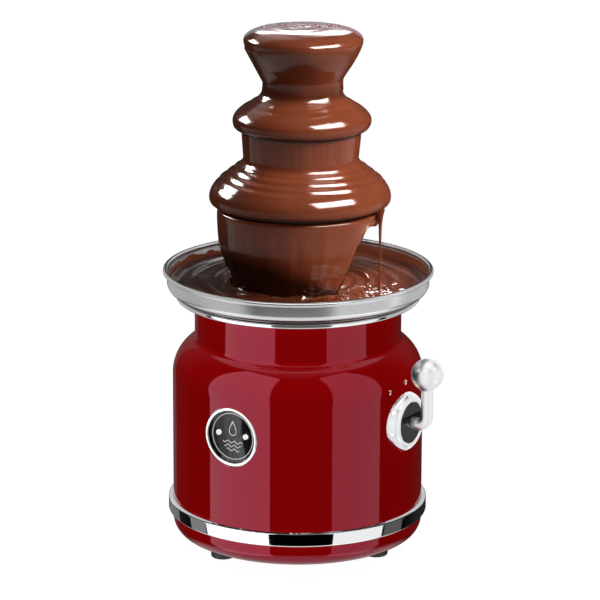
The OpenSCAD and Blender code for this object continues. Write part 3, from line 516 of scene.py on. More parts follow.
def bowl_finish(colours):
    """Satin steel with a chocolate film on the inside of the wall."""
    finish = Finish("bowl steel")
    tree = finish.tree
    rings = finish.effect(brushing_group, 2400.0, 0.27, 0.1)
    steel = finish.mixed(rings["Shade"], shade(colours.steel, 0.35), colours.steel)
    middle = math_node(tree, "SUBTRACT", finish.marked("film"), 0.45)
    edge = math_node(tree, "MULTIPLY_ADD", noise_node(tree, 70.0, 4.0), 0.9, middle)
    mask = ramp_between(tree, edge, 0.44, 0.54)
    finish.set("Base Color", finish.mixed(mask, steel, shade(colours.chocolate_deep, 0.3)))
    finish.set("Metallic", math_node(tree, "SUBTRACT", 1.0, mask))
    wet = math_node(tree, "MULTIPLY", mask, -0.12)
    finish.set("Roughness", math_node(tree, "ADD", rings["Roughness"], wet))
    finish.bump(rings["Height"], 0.015, 0.0002)
    return finish.material


def clear_finish():
    finish = Finish("clear lens", Transmission_Weight=1.0, IOR=1.46, Base_Color=(0.97, 0.98, 0.98, 1))
    finish.roughened(smudge_group, 60.0, 0.06, 0.03)
    return finish.material


# Settings


def colour_property(name, description, value):
    return bpy.props.FloatVectorProperty(
        name=name, description=description, subtype="COLOR", size=3, min=0, max=1, default=value
    )


def length_property(name, description, value):
    return bpy.props.FloatProperty(name=name, description=description, default=value, unit="LENGTH")


class FountainColours(bpy.types.PropertyGroup):
    """Colours of the fountain's finishes."""

    red: colour_property("Housing", "Gloss red of the shells", (0.2, 0.0008, 0.0014))
    chrome: colour_property("Chrome", "Bright trim", (0.88, 0.885, 0.9))
    steel: colour_property("Steel", "Satin bowl", (0.78, 0.78, 0.79))
    black: colour_property("Black", "Grip bar, badge face and gland", (0.018, 0.019, 0.02))
    dial: colour_property("Dial", "Dish behind the lever", (0.045, 0.047, 0.046))
    rubber: colour_property("Rubber", "Feet", (0.012, 0.012, 0.015))
    print_white: colour_property("Print", "Marks and lamps", (0.86, 0.86, 0.84))
    chocolate: colour_property("Chocolate", "Flowing chocolate", (0.31, 0.073, 0.03))
    # A darker chocolate tone for streaks. It is also darkened further for the painted shade on the chocolate,
    # and used for the film in the bowl.
    chocolate_deep: colour_property("Deep chocolate", "Chocolate where it is deep", (0.28, 0.064, 0.026))
    chocolate_thin: colour_property("Thin chocolate", "Torn edges", (0.36, 0.115, 0.05))


class FountainSizes(bpy.types.PropertyGroup):
    """Sizes of the fountain's fine forms."""

    ripple: length_property("Ripple", "Height of the rings on the lower tier", 0.0004)
    streak: length_property("Streak", "Depth of the streaks in the curtains", 0.00012)
    mark: length_property("Mark", "Height of a numeral round the selector", 0.0052)
    print_line: length_property("Print line", "Width of a printed line on the badge", 0.0004)


# Pieces


class FOUNTAIN_OT_housing(bpy.types.Operator):
    """Turns the two painted shells and bores the openings of the upper one"""

    bl_idname = "fountain.housing"
    bl_label = "Housing shells"

    def execute(self, context):
        red = lacquer_finish("gloss red", context.scene.fountain_colours.red)
        wall, parting, floor, fillet, opening, straight = 2.2, 33.5, 10.5, 12.0, 56.2, 134.0
        heel = (SHELL_R - fillet, floor + fillet)
        lower = turned("housing_lower", joined(
            [(opening, floor)], arc(heel, fillet, -90, 0, 24),
            [(SHELL_R, parting), (SHELL_R - wall, parting)], arc(heel, fillet - wall, 0, -54, 10),
            [(opening, floor + 4), (opening, floor)],
        ), 256)
        dressed(lower, "base", red, "red_gloss", "lower_shell")
        upper = turned("housing_upper", joined(
            even([(SHELL_R, parting), (SHELL_R, straight)], 6), self.shoulder(straight, 0),
            [(COLLAR_R, 190.5), (68.5, 190.5), (68.5, 190.5 - wall), (COLLAR_R - wall, 190.5 - wall)],
            reversed(self.shoulder(straight, wall)),
            [(SHELL_R - wall, straight), (SHELL_R - wall, parting), (SHELL_R, parting)],
        ), 256)
        for radius, azimuth, height in ((22.25, 0, BADGE_Z), (5.15, 90, CONTROL_Z), (6.15, 180, GLAND_Z)):
            bored(upper, radius, azimuth, height)
        select_only(upper)
        bpy.ops.object.shade_smooth_by_angle(angle=math.radians(32))
        dressed(upper, "base", red, "red_gloss", "upper_shell")
        return {"FINISHED"}

    @staticmethod
    def shoulder(rise, inset):
        """Dome and crease above the straight wall, moved inwards."""
        dome, crease = 30.0, 4.0
        middle, hollow = SHELL_R - dome, COLLAR_R + crease
        reach = math.sqrt((dome + crease) ** 2 - (hollow - middle) ** 2)
        turn = math.degrees(math.atan2(reach, hollow - middle))
        return joined(
            arc((middle, rise), dome - inset, 0, turn, 36),
            arc((hollow, rise + reach), crease + inset, turn + 180, 180, 14),
        )


class FOUNTAIN_OT_trim(bpy.types.Operator):
    """Turns the bright band and the feet"""

    bl_idname = "fountain.trim"
    bl_label = "Band and feet"

    def execute(self, context):
        colours = context.scene.fountain_colours
        chrome = polished("bright chrome", colours.chrome, 0.035, 0.04)
        low, high, inner, outer, edge = 28.5, 38.5, 93.5, 96.8, 1.2
        band = turned("trim_band_bright", joined(
            [(inner, low)], arc((outer - edge, low + edge), edge, -90, 0),
            arc((outer - edge, high - edge), edge, 0, 90), [(inner, high), (inner, low)],
        ), 256, 40)
        dressed(band, "base", chrome, "chrome_trim", "trim_band")
        rubber = grained("foot rubber", colours.rubber, 0.55, 0.2, 1400.0, 0.2)
        for node in ("foot_right", "foot_rear", "foot_front"):
            low_corner, high_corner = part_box(node)
            foot = turned("rubber_" + node, joined(
                [(0, 0.6), (3.2, 0.6), (4.0, 0)], arc((7.4, 1.5), 1.5, -90, 0, 6), [(9.0, 8.6)],
                arc((8.4, 9.2), 0.6, 0, 60, 3), [(8.6, 10.45), (3, 10.45), (3, 15.5), (0, 15.5)],
            ), 72)
            middle = (low_corner + high_corner) / 2 / MM
            placed(foot, (middle.x, middle.y, 0))
            dressed(foot, "base", rubber, "foot_rubber", node)
        return {"FINISHED"}


class FOUNTAIN_OT_bowl(bpy.types.Operator):
    """Turns the steel bowl with its rolled rim, and the bright ring that it sits on"""

    bl_idname = "fountain.bowl"
    bl_label = "Bowl and seat ring"

    def execute(self, context):
        colours = context.scene.fountain_colours
        sheet, seat, well, bore = 1.2, 195.0, 170.0, 9.15
        corner, bend, rim, bead = (64.5, 173), 3.0, (98.6, 212.3), 1.7
        outside = joined(
            [(bore, well)], arc(corner, bend, -90, 0, 6), [(67.5, seat), (87.5, seat)],
            curve((87.5, seat), (96.6, 197.6), (97.2, 203), 16), [(97.6, 209.9)],
        )
        inside = joined(
            [(96.4, 209.9), (96.0, 203)], curve((96.0, 203), (95.4, 198.8), (86.9, seat + sheet), 16),
            [(66.3, seat + sheet)], arc(corner, bend - sheet, 0, -90, 6), [(bore, well + sheet)],
        )
        bowl = turned("bowl_steel", joined(
            outside, arc(rim, bead, -70, 200, 22), inside, [(bore, well)],
        ), 256, 40)
        x, y, z = points_of(bowl)
        r, turn = polar(x, y)
        film = 15.0 * (0.75 + 0.5 * smooth(-0.3, 0.75, np.cos(turn - math.radians(100))))
        height = 1 - smooth(POOL_Z, POOL_Z + film, z)
        within = (r < 96.1 + (z - 203) * 0.06) & (z > seat + 1)
        mark(bowl, "film", height * within)
        dressed(bowl, "base", bowl_finish(colours), "bowl_steel", "bowl")
        chrome = polished("seat chrome", colours.chrome, 0.08, 0.05)
        ring = turned("seat_ring_bright", joined(
            [(67.65, 190.5), (78.3, 190.5), (79.3, 191.8)], arc((89.3, 193), 1.2, -90, 0, 6),
            arc((89.3, 193.8), 1.2, 0, 90, 6), [(67.65, seat), (67.65, 190.5)],
        ), 256, 40)
        dressed(ring, "base", chrome, "chrome_trim", "seat_ring")
        return {"FINISHED"}


class FOUNTAIN_OT_badge(bpy.types.Operator):
    """Makes the round badge: bright ring, dark face with a plain print, lens and lamps"""

    bl_idname = "fountain.badge"
    bl_label = "Badge"

    def execute(self, context):
        colours = context.scene.fountain_colours
        line = context.scene.fountain_sizes.print_line / MM
        chrome = bpy.data.materials["bright chrome"]
        inner, outer, front, face = 19.7, 22.1, 92.1, 88.7
        ring = turned("badge_ring_bright", joined(
            [(17.7, 85.2), (23.6, 85.2), (23.6, 87.8), (outer, 87.8)],
            arc((outer - 0.8, front - 0.8), 0.8, 0, 90, 6), arc((inner + 0.8, front - 0.8), 0.8, 90, 180, 6),
            [(inner, 86.7), (17.7, 86.7), (17.7, 85.2)],
        ), 128, 40)
        dressed(on_wall(ring, 0, BADGE_Z), "base", chrome, "chrome_trim", "badge_ring")
        dark = grained("badge black", shade(colours.black, 0.7), 0.6, 0.08)
        plate = turned("badge_plate", joined(
            [(0, 86.8), (19.5, 86.8), (19.5, face - 0.3), (19.2, face), (0, face)],
        ), 128)
        dressed(on_wall(plate, 0, BADGE_Z), "base", dark, "black_plastic", "badge_face")
        white = grained("print white", colours.print_white, 0.5, 0.1)
        rim, printed = 17.4, face + 0.06
        circle = turned("badge_circle", [
            (rim - line, face), (rim, face), (rim, printed), (rim - line, printed), (rim - line, face),
        ], 128)
        dressed(on_wall(circle, 0, BADGE_Z), "base", white, "lamp_white")
        for index, path in enumerate(self.motif()):
            stroke = self.stroke("badge_stroke_%d" % index, path, line, face)
            dressed(on_wall(stroke, 0, BADGE_Z), "base", white, "lamp_white")
        bow, thick = 120.0, 1.25
        edge = math.degrees(math.asin(19.5 / bow))
        back = face + 0.15 - bow * math.cos(math.radians(edge))
        lens = turned("badge_glass", joined(
            reversed(arc((0, back), bow, 90 - edge, 90, 12)),
            arc((0, back + thick), bow, 90 - edge, 90, 12),
        ), 128)
        dressed(on_wall(lens, 0, BADGE_Z), "base", clear_finish(), "lens_clear", "badge_lens")
        for side, aside in (("left", -11.5), ("right", 11.5)):
            lamp = turned("badge_lamp_" + side, joined(
                [(0, 85.3), (2, 85.3)], arc((1.6, face + 1.4), 0.4, 0, 90, 4), [(0, face + 1.8)],
            ), 48)
            placed(lamp, (aside, 1.5, 0))
            dressed(on_wall(lamp, 0, BADGE_Z), "base", white, "lamp_white", "badge_lamps")
        return {"FINISHED"}

    @staticmethod
    def motif():
        """A falling drop over three waves, as lines across the face."""
        turns = np.linspace(0, FULL_TURN, 41)
        drop = [(4.2 * math.sin(t) * math.sin(t / 2) ** 1.5, 5.6 - 5.4 * math.cos(t)) for t in turns]
        lines = [[(x, 11.6 - y) for x, y in drop]]
        for height, half in ((-4.4, 8.4), (-7.4, 7.2), (-10.4, 5.4)):
            across = np.linspace(-half, half, 41)
            lines.append([(x, height + 0.9 * math.sin(x * 1.15)) for x in across])
        return lines

    @staticmethod
    def stroke(name, path, width, face):
        """A thin printed line along a path."""
        deselect_all()
        bpy.ops.curve.primitive_nurbs_path_add()
        made = bpy.context.object
        made.data.splines.clear()
        line = made.data.splines.new("POLY")
        line.points.add(len(path) - 1)
        for point, (x, y) in zip(line.points, path):
            point.co = (x * MM, y * MM, face * MM, 1)
        made.data.bevel_depth = width / 2 * MM
        made.data.bevel_resolution = 1
        made.data.use_fill_caps = True
        bpy.ops.object.convert(target="MESH")
        return named(name)


class FOUNTAIN_OT_selector(bpy.types.Operator):
    """Makes the selector: bezel, dial with a grip bar, numerals and the cranked lever"""

    bl_idname = "fountain.selector"
    bl_label = "Selector and lever"

    def execute(self, context):
        colours = context.scene.fountain_colours
        lip, inner, outer = 98.7, 15.2, 22.5
        bezel = turned("selector_bezel_bright", joined(
            [(5.2, 93.6), (outer, 89.5)], curve((outer, 90.0), (outer - 0.3, 97.6), (17.6, lip), 20),
            arc((16.2, lip - 0.7), 0.7, 80, 180, 6),
            [(inner + 0.1, 95.2), (5.2, 95.2), (5.2, 93.6)],
        ), 128, 40)
        chrome = polished("bezel chrome", colours.chrome, 0.14, 0.05)
        dressed(on_wall(bezel, 90, CONTROL_Z), "base", chrome, "chrome_trim", "selector_bezel")
        dark = grained("dial grey", colours.dial, 0.3, 0.1, 1500.0, 0.05)
        dial = turned("selector_dial", joined(
            [(3.3, 95.3), (15.05, 95.3), (15.05, 98.0)], curve((15.0, 98.0), (9.0, 97.0), (3.3, 97.0), 8),
            [(3.3, 95.3)],
        ), 96)
        dressed(on_wall(dial, 90, CONTROL_Z), "base", dark, "black_plastic", "selector_dish")
        grip = self.grip()
        bar = grained("bar black", shade(colours.black, 0.3), 0.4, 0.1, 1500.0, 0.05)
        dressed(on_wall(grip, 90, CONTROL_Z), "base", bar, "black_plastic")
        white = bpy.data.materials["print white"]
        for text, aside, up in (("0", 0, 29.8), ("2", -19.2, 26.4), ("1", 19.2, 26.4)):
            digit = self.numeral(text, aside, up, context.scene.fountain_sizes.mark / MM)
            dressed(digit, "base", white, "lamp_white")
        satin = polished("lever chrome", colours.chrome, 0.3, 0.05)
        dressed(self.arm(), "lever", satin, "chrome_trim", "lever_arm")
        ball = turned("lever_knob", joined(
            [(4.68, -10.9), (5.6, -11.2), (6.2, -10.6)], arc((0, 0), 12, -58, 90, 40),
        ), 96, 40)
        placed(ball, (111.6, 0, CONTROL_Z + 38.8))
        dressed(ball, "lever", satin, "ball_chrome", "lever_ball")
        return {"FINISHED"}

    @staticmethod
    def grip():
        """A low bar across the dial."""
        deselect_all()
        bpy.ops.mesh.primitive_cube_add(size=1)
        grip = named("selector_grip")
        grip.scale = (27 * MM, 4.6 * MM, 1.6 * MM)
        bpy.ops.object.transform_apply(scale=True)
        apply_modifier(grip, "BEVEL", width=0.7 * MM, segments=4)
        bpy.ops.object.shade_smooth_by_angle(angle=math.radians(40))
        return placed(grip, (0, 3.4, 98.0))

    @staticmethod
    def numeral(text, aside, up, size):
        """A numeral printed on the round wall beside the lever."""
        deselect_all()
        bpy.ops.object.text_add()
        made = bpy.context.object
        made.data.body = text
        made.data.size = size * MM
        made.data.align_x, made.data.align_y = "CENTER", "CENTER"
        made.data.extrude = 0.03 * MM
        bpy.ops.object.convert(target="MESH")
        made = named("numeral_" + text)

        def wrap(x, y, z):
            turn = (x + aside) / SHELL_R + math.pi / 2
            r = SHELL_R + 0.04 + z
            return r * np.sin(turn), -r * np.cos(turn), CONTROL_Z + up + y

        return reshaped(made, wrap)

    @staticmethod
    def arm():
        """The cranked arm: out of the dial, round a bend and up to the knob."""
        radius, heel, reach, bend, top = 4.6, 99.7, 111.6, 7.0, 34.8
        deselect_all()
        bpy.ops.mesh.primitive_circle_add(
            vertices=64, radius=radius * MM, fill_type="NGON",
            location=(heel * MM, 0, 0), rotation=(0, math.pi / 2, 0),
        )
        arm = named("lever_crank")
        bpy.ops.object.transform_apply(location=True, rotation=True)
        bpy.ops.object.mode_set(mode="EDIT")
        bpy.ops.mesh.select_all(action="SELECT")
        bpy.ops.mesh.bevel(offset=0.01 * MM, segments=1, affect="VERTICES")
        bpy.ops.mesh.extrude_region_move(TRANSFORM_OT_translate={"value": ((reach - bend - heel) * MM, 0, 0)})
        bpy.ops.mesh.spin(
            steps=20, angle=-math.pi / 2, center=((reach - bend) * MM, 0, bend * MM), axis=(0, -1, 0)
        )
        bpy.ops.mesh.extrude_region_move(TRANSFORM_OT_translate={"value": (0, 0, (top - bend) * MM)})
        close_mesh(40.0)
        return placed(arm, (0, 0, CONTROL_Z))


class FOUNTAIN_OT_gland(bpy.types.Operator):
    """Turns the ribbed gland where a cord goes in at the back"""

    bl_idname = "fountain.gland"
    bl_label = "Cord gland"

    def execute(self, context):
        black = grained("gland black", context.scene.fountain_colours.black, 0.45, 0.15, 1300.0, 0.12)
        gland = turned("cord_gland_ribbed", joined(
            [(3.6, 85.1), (6.0, 85.1), (6.0, 92.6), (9.0, 92.6)], arc((8.4, 94.4), 0.6, 0, 90, 4),
            [(7.6, 95.0), (7.2, 95.5), (6.6, 95.5), (6.2, 96.3), (4.4, 96.3), (3.6, 95.7), (3.6, 85.1)],
        ), 72)
        dressed(on_wall(gland, 180, GLAND_Z), "base", black, "black_plastic", "cord_gland")
        return {"FINISHED"}


class FOUNTAIN_OT_tower(bpy.types.Operator):
    """Pours the chocolate over the crown, the middle tier and the lower tier"""

    bl_idname = "fountain.tower"
    bl_label = "Flowing chocolate"

    def execute(self, context):
        sizes = context.scene.fountain_sizes
        self.ripple, self.streak = sizes.ripple / MM, sizes.streak / MM
        chocolate = chocolate_finish(context.scene.fountain_colours)
        crown = poured("flow_crown", self.crown(), 360)
        # Painted shade: the crown's flow darkens towards its lowest part, under the crown's lip.
        mark(crown, "deep", 0.55 * (1 - smooth(352, 362, points_of(crown)[2])))
        reshaped(crown, self.stir_crown)
        dressed(crown, "tower", chocolate, "chocolate", "chocolate_crown")
        middle = poured("flow_middle", self.middle(), 360)
        x, y, z = points_of(middle)
        # Painted shade: darker in the groove under the middle tier's lip, and at its top under the crown.
        groove_shade = hump(z, (316.5, 318), (320.2, 320.6)) * (1 - smooth(44.4, 45.4, np.hypot(x, y)))
        mark(middle, "deep", np.maximum(groove_shade, 0.55 * smooth(341, 347, z)))
        reshaped(middle, self.stir_middle)
        dressed(middle, "tower", chocolate, "chocolate", "chocolate_middle")
        lower = poured("flow_lower", self.lower(), 380)
        self.mark_thin_and_shade(lower)
        reshaped(lower, self.stir_lower)
        dressed(lower, "tower", chocolate, "chocolate", "chocolate_lower")
        thread = turned("flow_thread", joined(
            [(0, 265.5), (3.4, 264.5)], curve((3.4, 264.5), (1.5, 258), (1.15, 249)),
            even([(1.15, 249), (0.8, 236)], 2), even([(0.8, 236), (0.85, 212)], 2),
            curve((0.85, 212), (0.95, 206), (2.2, 204)), [(0, 203.8)],
        ), 40, 60)
        placed(thread, from_polar(THREAD_R, THREAD_TURN, 0))
        dressed(thread, "tower", chocolate, "chocolate")
        return {"FINISHED"}

    @staticmethod
    def crown():
        outer = joined([(0, 394.6)], bends(
            (6, 394.6), (34.5, 395.2), (41.3, 389.6), (44.1, 387.3), (44.1, 384.8), (43.9, 379.6),
            (35.8, 366.8), (31.4, 360.5), (29.6, 357), (29.2, 354.6), (29.65, 348.78),
        ))
        cup = [(SLEEVE_R, 348.78), (SLEEVE_R, 352), (38.7, 378.5), (37.4, 380), (24.35, 374.3), (0, 374.3)]
        return joined(even(outer, FLOW_STEP), cup)

    @staticmethod
    def cup_radius(z):
        """Outer radius of the cup under the crown's flow."""
        return SLEEVE_R + 0.53 * np.clip(z - 352, 0, 27)

    def stir_crown(self, x, y, z):
        r, turn = polar(x, y)
        skin = np.clip(smooth(0, 2.5, r - self.cup_radius(z)) + (z > 383), 0, 1)
        swell = waves(turn, z / 20, [(0.35, 2, 1, 0.6), (0.25, 3, -1, 2.0), (0.12, 7, 2, 0.4)])
        r = r + skin * swell * smooth(10, 40, r)
        z = z + smooth(388, 392, z) * (0.05 * np.sin(r * 0.55 + 2 * turn) + 0.04 * np.sin(5 * turn + r * 0.2))
        x, y, z = from_polar(r, turn, z)
        draw = np.random.default_rng(11)
        left, right = ((-17, 7), (-14, 5)), ((14, 10), (-7, 5))
        for sideways, forwards in (left, right, right) * 8:
            aside, ahead = draw.normal(*sideways), draw.normal(*forwards)
            size = draw.uniform(0.6, 1.1)
            spot_x = aside * math.cos(VIEW) + ahead * math.sin(VIEW)
            spot_y = aside * math.sin(VIEW) - ahead * math.cos(VIEW)
            dome = np.sqrt(np.clip(size**2 - (x - spot_x) ** 2 - (y - spot_y) ** 2, 0, None))
            z = z + dome * 0.6 * (z > 386)
        x, y, z = leaned(x, y, z)
        cover = (self.cup_radius(z) + 0.85) / np.maximum(np.hypot(x, y), 1)
        spread = np.where((skin > 0.5) & (z < 380), np.maximum(cover, 1), 1)
        return x * spread, y * spread, z

    @staticmethod
    def middle():
        outer = joined(curve((29.65, 348.7), (29.65, 344.2), (34.65, 341.2)), bends(
            (44, 335.3), (50.9, 330.2), (50.7, 325.3), (50.6, 320.6), (47.6, 319.5), (45.0, 319.0),
            (44.5, 319.9), (43.9, 318.9), (43.9, 316.0),
        ), [(42.4, 298.36)])
        inner = [(40.4, 298.36), (41.8, 317), (42.0, 320.6), (45.7, 320.6), (45.7, 322.5)]
        cover = curve((45.6, 323.2), (37.5, 341.9), (SLEEVE_R, 343.3), 8)
        return joined(even(outer, FLOW_STEP), inner, cover, [(SLEEVE_R, 348.7), (29.65, 348.7)])

    def stir_middle(self, x, y, z):
        r, turn = polar(x, y)
        top = hump(z, (320, 326), (343, 348))
        rings = 0.3 * self.ripple * np.cos((r - 31) * 1.05 + 0.4 * np.sin(2 * turn))
        rings = rings * hump(r, (29, 32), (40, 48))
        swell = waves(turn, z / 15, [(0.3, 2, 1, 2.2), (0.22, 3, 1, 0.5), (0.1, 5, -1, 1.7)])
        fall = (1 - smooth(312, 319, z)) * smooth(0, 1, r - 40)
        lines = waves(turn, z / 40, [
            (1.0, 9, 1, 0.3), (0.8, 17, -1, 1.9), (0.5, 31, 1, 4.0), (0.35, 53, -1, 2.6),
        ])
        r = r + top * (swell + 0.6 * rings) + fall * self.streak * lines
        return leaned(*from_polar(r, turn, z + top * 0.8 * rings))

    @staticmethod
    def lower():
        top = bends(
            (56, 284.8), (67.2, 276.3), (67, 268.3), (66.9, 264.4), (64.4, 263.5), (62.4, 262.9),
            (61.2, 263.5),
        )
        curtain = bends(
            (57.9, 260.3), (60.3, 260.0), (60.9, 258.4), (61.1, 256), (60.9, 252), (60.4, 241), (59.4, 234),
            (57.6, 224), (52.6, 215.5), (49.6, 209.5), (49.2, 203.8),
        )
        neck = curve((42.4, 298.3), (42.7, 293.8), (48.0, 291))
        outer = joined(neck, top, [(58.2, 263.8), (57.9, 262.8)], curtain)
        inner = joined(bends(
            (47.4, 203.8), (47.8, 209.5), (50.8, 215.5), (55.6, 224), (57.4, 234), (58.4, 243), (58.9, 252),
        ), [(58.6, 257), (55.9, 259), (55.9, 263.4), (57, 264.6), (61.8, 264.8)])
        cover = curve((62, 266), (50.9, 292.0), (SLEEVE_R, 294.3), 8)
        return joined(even(outer, FLOW_STEP), even(inner, 1.2), cover, [(SLEEVE_R, 298.3), (42.4, 298.3)])

    @staticmethod
    def hem(turn):
        """Height of the curtain's lower edge round the tower."""
        angle = in_degrees(turn)
        tear = hump(angle, (35, 46), (124, 136))
        arch = 36 + 12 * hump(angle, (44, 56), (112, 126))
        return CURTAIN_FOOT + tear * (arch + 0.8 * np.sin(angle * 0.35))

    @staticmethod
    def mark_thin_and_shade(piece):
        """Marks where the curtain thins out beside the tear, and paints shade into the groove under the lip
        and towards the curtain's foot.
        """
        x, y, z = points_of(piece)
        r, turn = polar(x, y)
        angle = in_degrees(turn)
        beside = hump(angle, (36, 52), (128, 144))
        mark(piece, "thin", beside * (1 - smooth(250, 259, z)) * 0.9)
        # Painted shade: darker towards the curtain's foot, from higher up at the left than at the right, and
        # in the groove under the lip.
        at = [-90, -25, -8, 10, 25, 45]
        high = np.interp(angle, at, [250, 247, 238, 226, 216, 211])
        low = np.interp(angle, at, [226, 222, 213, 209, 206, 204])
        groove_shade = hump(z, (259.4, 260.6), (263.9, 264.4)) * (1 - smooth(59.5, 60.6, r))
        mark(piece, "deep", np.maximum(1 - smooth(low, high, z), groove_shade))

    @staticmethod
    def curtain_radius(z):
        """Radius of the lower curtain at a height."""
        heights, radii = [203, 209, 215.5, 224, 234, 245, 258], [49.2, 50.2, 52.6, 56.6, 59.4, 60.5, 61.0]
        return np.interp(z, heights, radii)

    def stir_lower(self, x, y, z):
        r, turn = polar(x, y)
        top = hump(z, (262, 269), (294, 298)) * smooth(-1, 1, z - 294.5 + (r - SLEEVE_R) * 0.42)
        bend = 0.35 * np.sin(3 * turn) - 3.2 * np.sin(turn + 0.15)
        rings = self.ripple * np.cos((r - 45.5) * 1.18 + bend) * hump(r, (44, 47), (58, 66))
        swell = waves(turn, z / 18, [(0.4, 2, 1, 1.0), (0.3, 3, -1, 0.2), (0.14, 6, 1, 2.7)])
        fall = (1 - smooth(250, 256, z)) * (r > 46)
        lines = waves(turn, z / 45, [
            (1.0, 8, 1, 0.9), (0.9, 15, -1, 2.4), (0.6, 27, 1, 0.2), (0.4, 47, -1, 5.0),
        ])
        crease = 256.0
        share = (crease - self.hem(turn)) / (crease - CURTAIN_FOOT)
        lift = np.where(z < crease, crease - (crease - z) * share, z)
        r = r + fall * (self.curtain_radius(lift) - self.curtain_radius(z))
        r = r + top * (swell + 0.6 * rings) + fall * self.streak * lines * 1.3
        draw = np.random.default_rng(3)
        for _ in range(7):
            angle, height = draw.uniform(-0.75, -0.2), draw.uniform(213, 225)
            length, far = draw.uniform(2.0, 4.5), (turn - angle) * 54
            ridge = np.exp(-((far / length) ** 2) - (lift - height - 0.25 * far) ** 2)
            r = r + 0.8 * ridge * (fall > 0.5)
        return leaned(*from_polar(r, turn, lift + top * 0.8 * rings))


class FOUNTAIN_OT_pool(bpy.types.Operator):
    """Fills the bowl with chocolate that ripples round the curtain"""

    bl_idname = "fountain.pool"
    bl_label = "Chocolate pool"

    def execute(self, context):
        hole = SLEEVE_R + 0.3
        outline = joined(
            [(hole, 171.5), (63, 171.5), (66, 174.2), (66, 196.5), (86.5, 196.5)],
            curve((86.5, 196.5), (94.4, 199.7), (95.6, 203.2), 8),
            curve((95.6, 203.2), (95.9, 205.0), (94.4, 204.0), 5),
            even([(94.4, 204.0), (hole, POOL_Z)], FLOW_STEP), [(hole, 171.5)],
        )
        pool = reshaped(poured("pool", outline, 400), self.stir)
        x, y, _ = points_of(pool)
        r, turn = polar(x, y)
        angle = in_degrees(turn)
        # Painted light and shade: the pool is darkened all over, less on its lit right side and near the rim
        # at the left.
        lit = 0.65 * hump(angle, (8, 42), (104, 134))
        mark(pool, "deep", 0.7 - np.maximum(lit, 0.25 * smooth(74, 88, r) * smooth(-95, -80, angle)))
        dressed(pool, "base", bpy.data.materials["wet chocolate"], "chocolate", "chocolate_pool")
        return {"FINISHED"}

    @staticmethod
    def stir(x, y, z):
        r, turn = polar(x, y)
        surface = smooth(202.5, 203.2, z) * hump(r, (26, 30), (92, 95))
        ring = np.exp(-(((r - 52.0 - 1.2 * np.sin(5 * turn) - 0.8 * np.sin(9 * turn + 1)) / 2.3) ** 2))
        folds = ring * (1.1 + 0.7 * np.sin(7 * turn + 0.5) + 0.5 * np.sin(13 * turn + 2))
        spread = 0.55 * np.cos((r - 52) * 0.72 + 0.6 * np.sin(3 * turn))
        spread = spread * np.exp(-np.clip(r - 53, 0, None) / 14)
        swirl = 0.35 * np.sin(0.42 * r + 2.0 * turn + 0.6 * np.sin(4 * turn)) * smooth(58, 74, r)
        spot_x, spot_y, _ = from_polar(THREAD_R, THREAD_TURN, 0)
        far = np.hypot(x - spot_x, y - spot_y)
        landing = 1.5 * np.exp(-((far / 2.6) ** 2)) + 0.8 * np.cos(far * 1.25) * np.exp(-far / 7)
        heap_x, heap_y, _ = from_polar(57.0, math.radians(48), 0)
        heap = np.hypot((x - heap_x) * 0.8, y - heap_y)
        lumps = 1.9 * np.exp(-((heap / 8.5) ** 2)) * (1 + 0.7 * np.sin(x * 0.75) * np.cos(y * 0.9 + 1))
        rise = np.clip(folds + spread + swirl + landing + lumps, -1.2, 3.6)
        draw = np.random.default_rng(5)
        for index in range(60):
            # A crest at the curtain's foot, below the tear, or at the left near the rim
            kind = 2 if index % 12 == 0 else min(index % 4, 1)
            angle = (draw.normal(0.2, 0.7), draw.normal(0.85, 0.22), draw.normal(-0.8, 0.08))[kind]
            reach = (52.5 + abs(draw.normal(0, 2.5)), draw.uniform(55, 86), draw.uniform(76, 88))[kind]
            size, heading = draw.uniform(0.9, 2.0), draw.uniform(0, math.pi)
            spot_x, spot_y, _ = from_polar(reach, angle, 0)
            along = (x - spot_x) * math.cos(heading) + (y - spot_y) * math.sin(heading)
            across = (y - spot_y) * math.cos(heading) - (x - spot_x) * math.sin(heading)
            crest = np.exp(-((along / (2.6 * size)) ** 2) - (across / (0.8 * size)) ** 2)
            rise = rise + (0.7, 0.7, 1.2)[kind] * size * crest
        return x, y, z + surface * rise


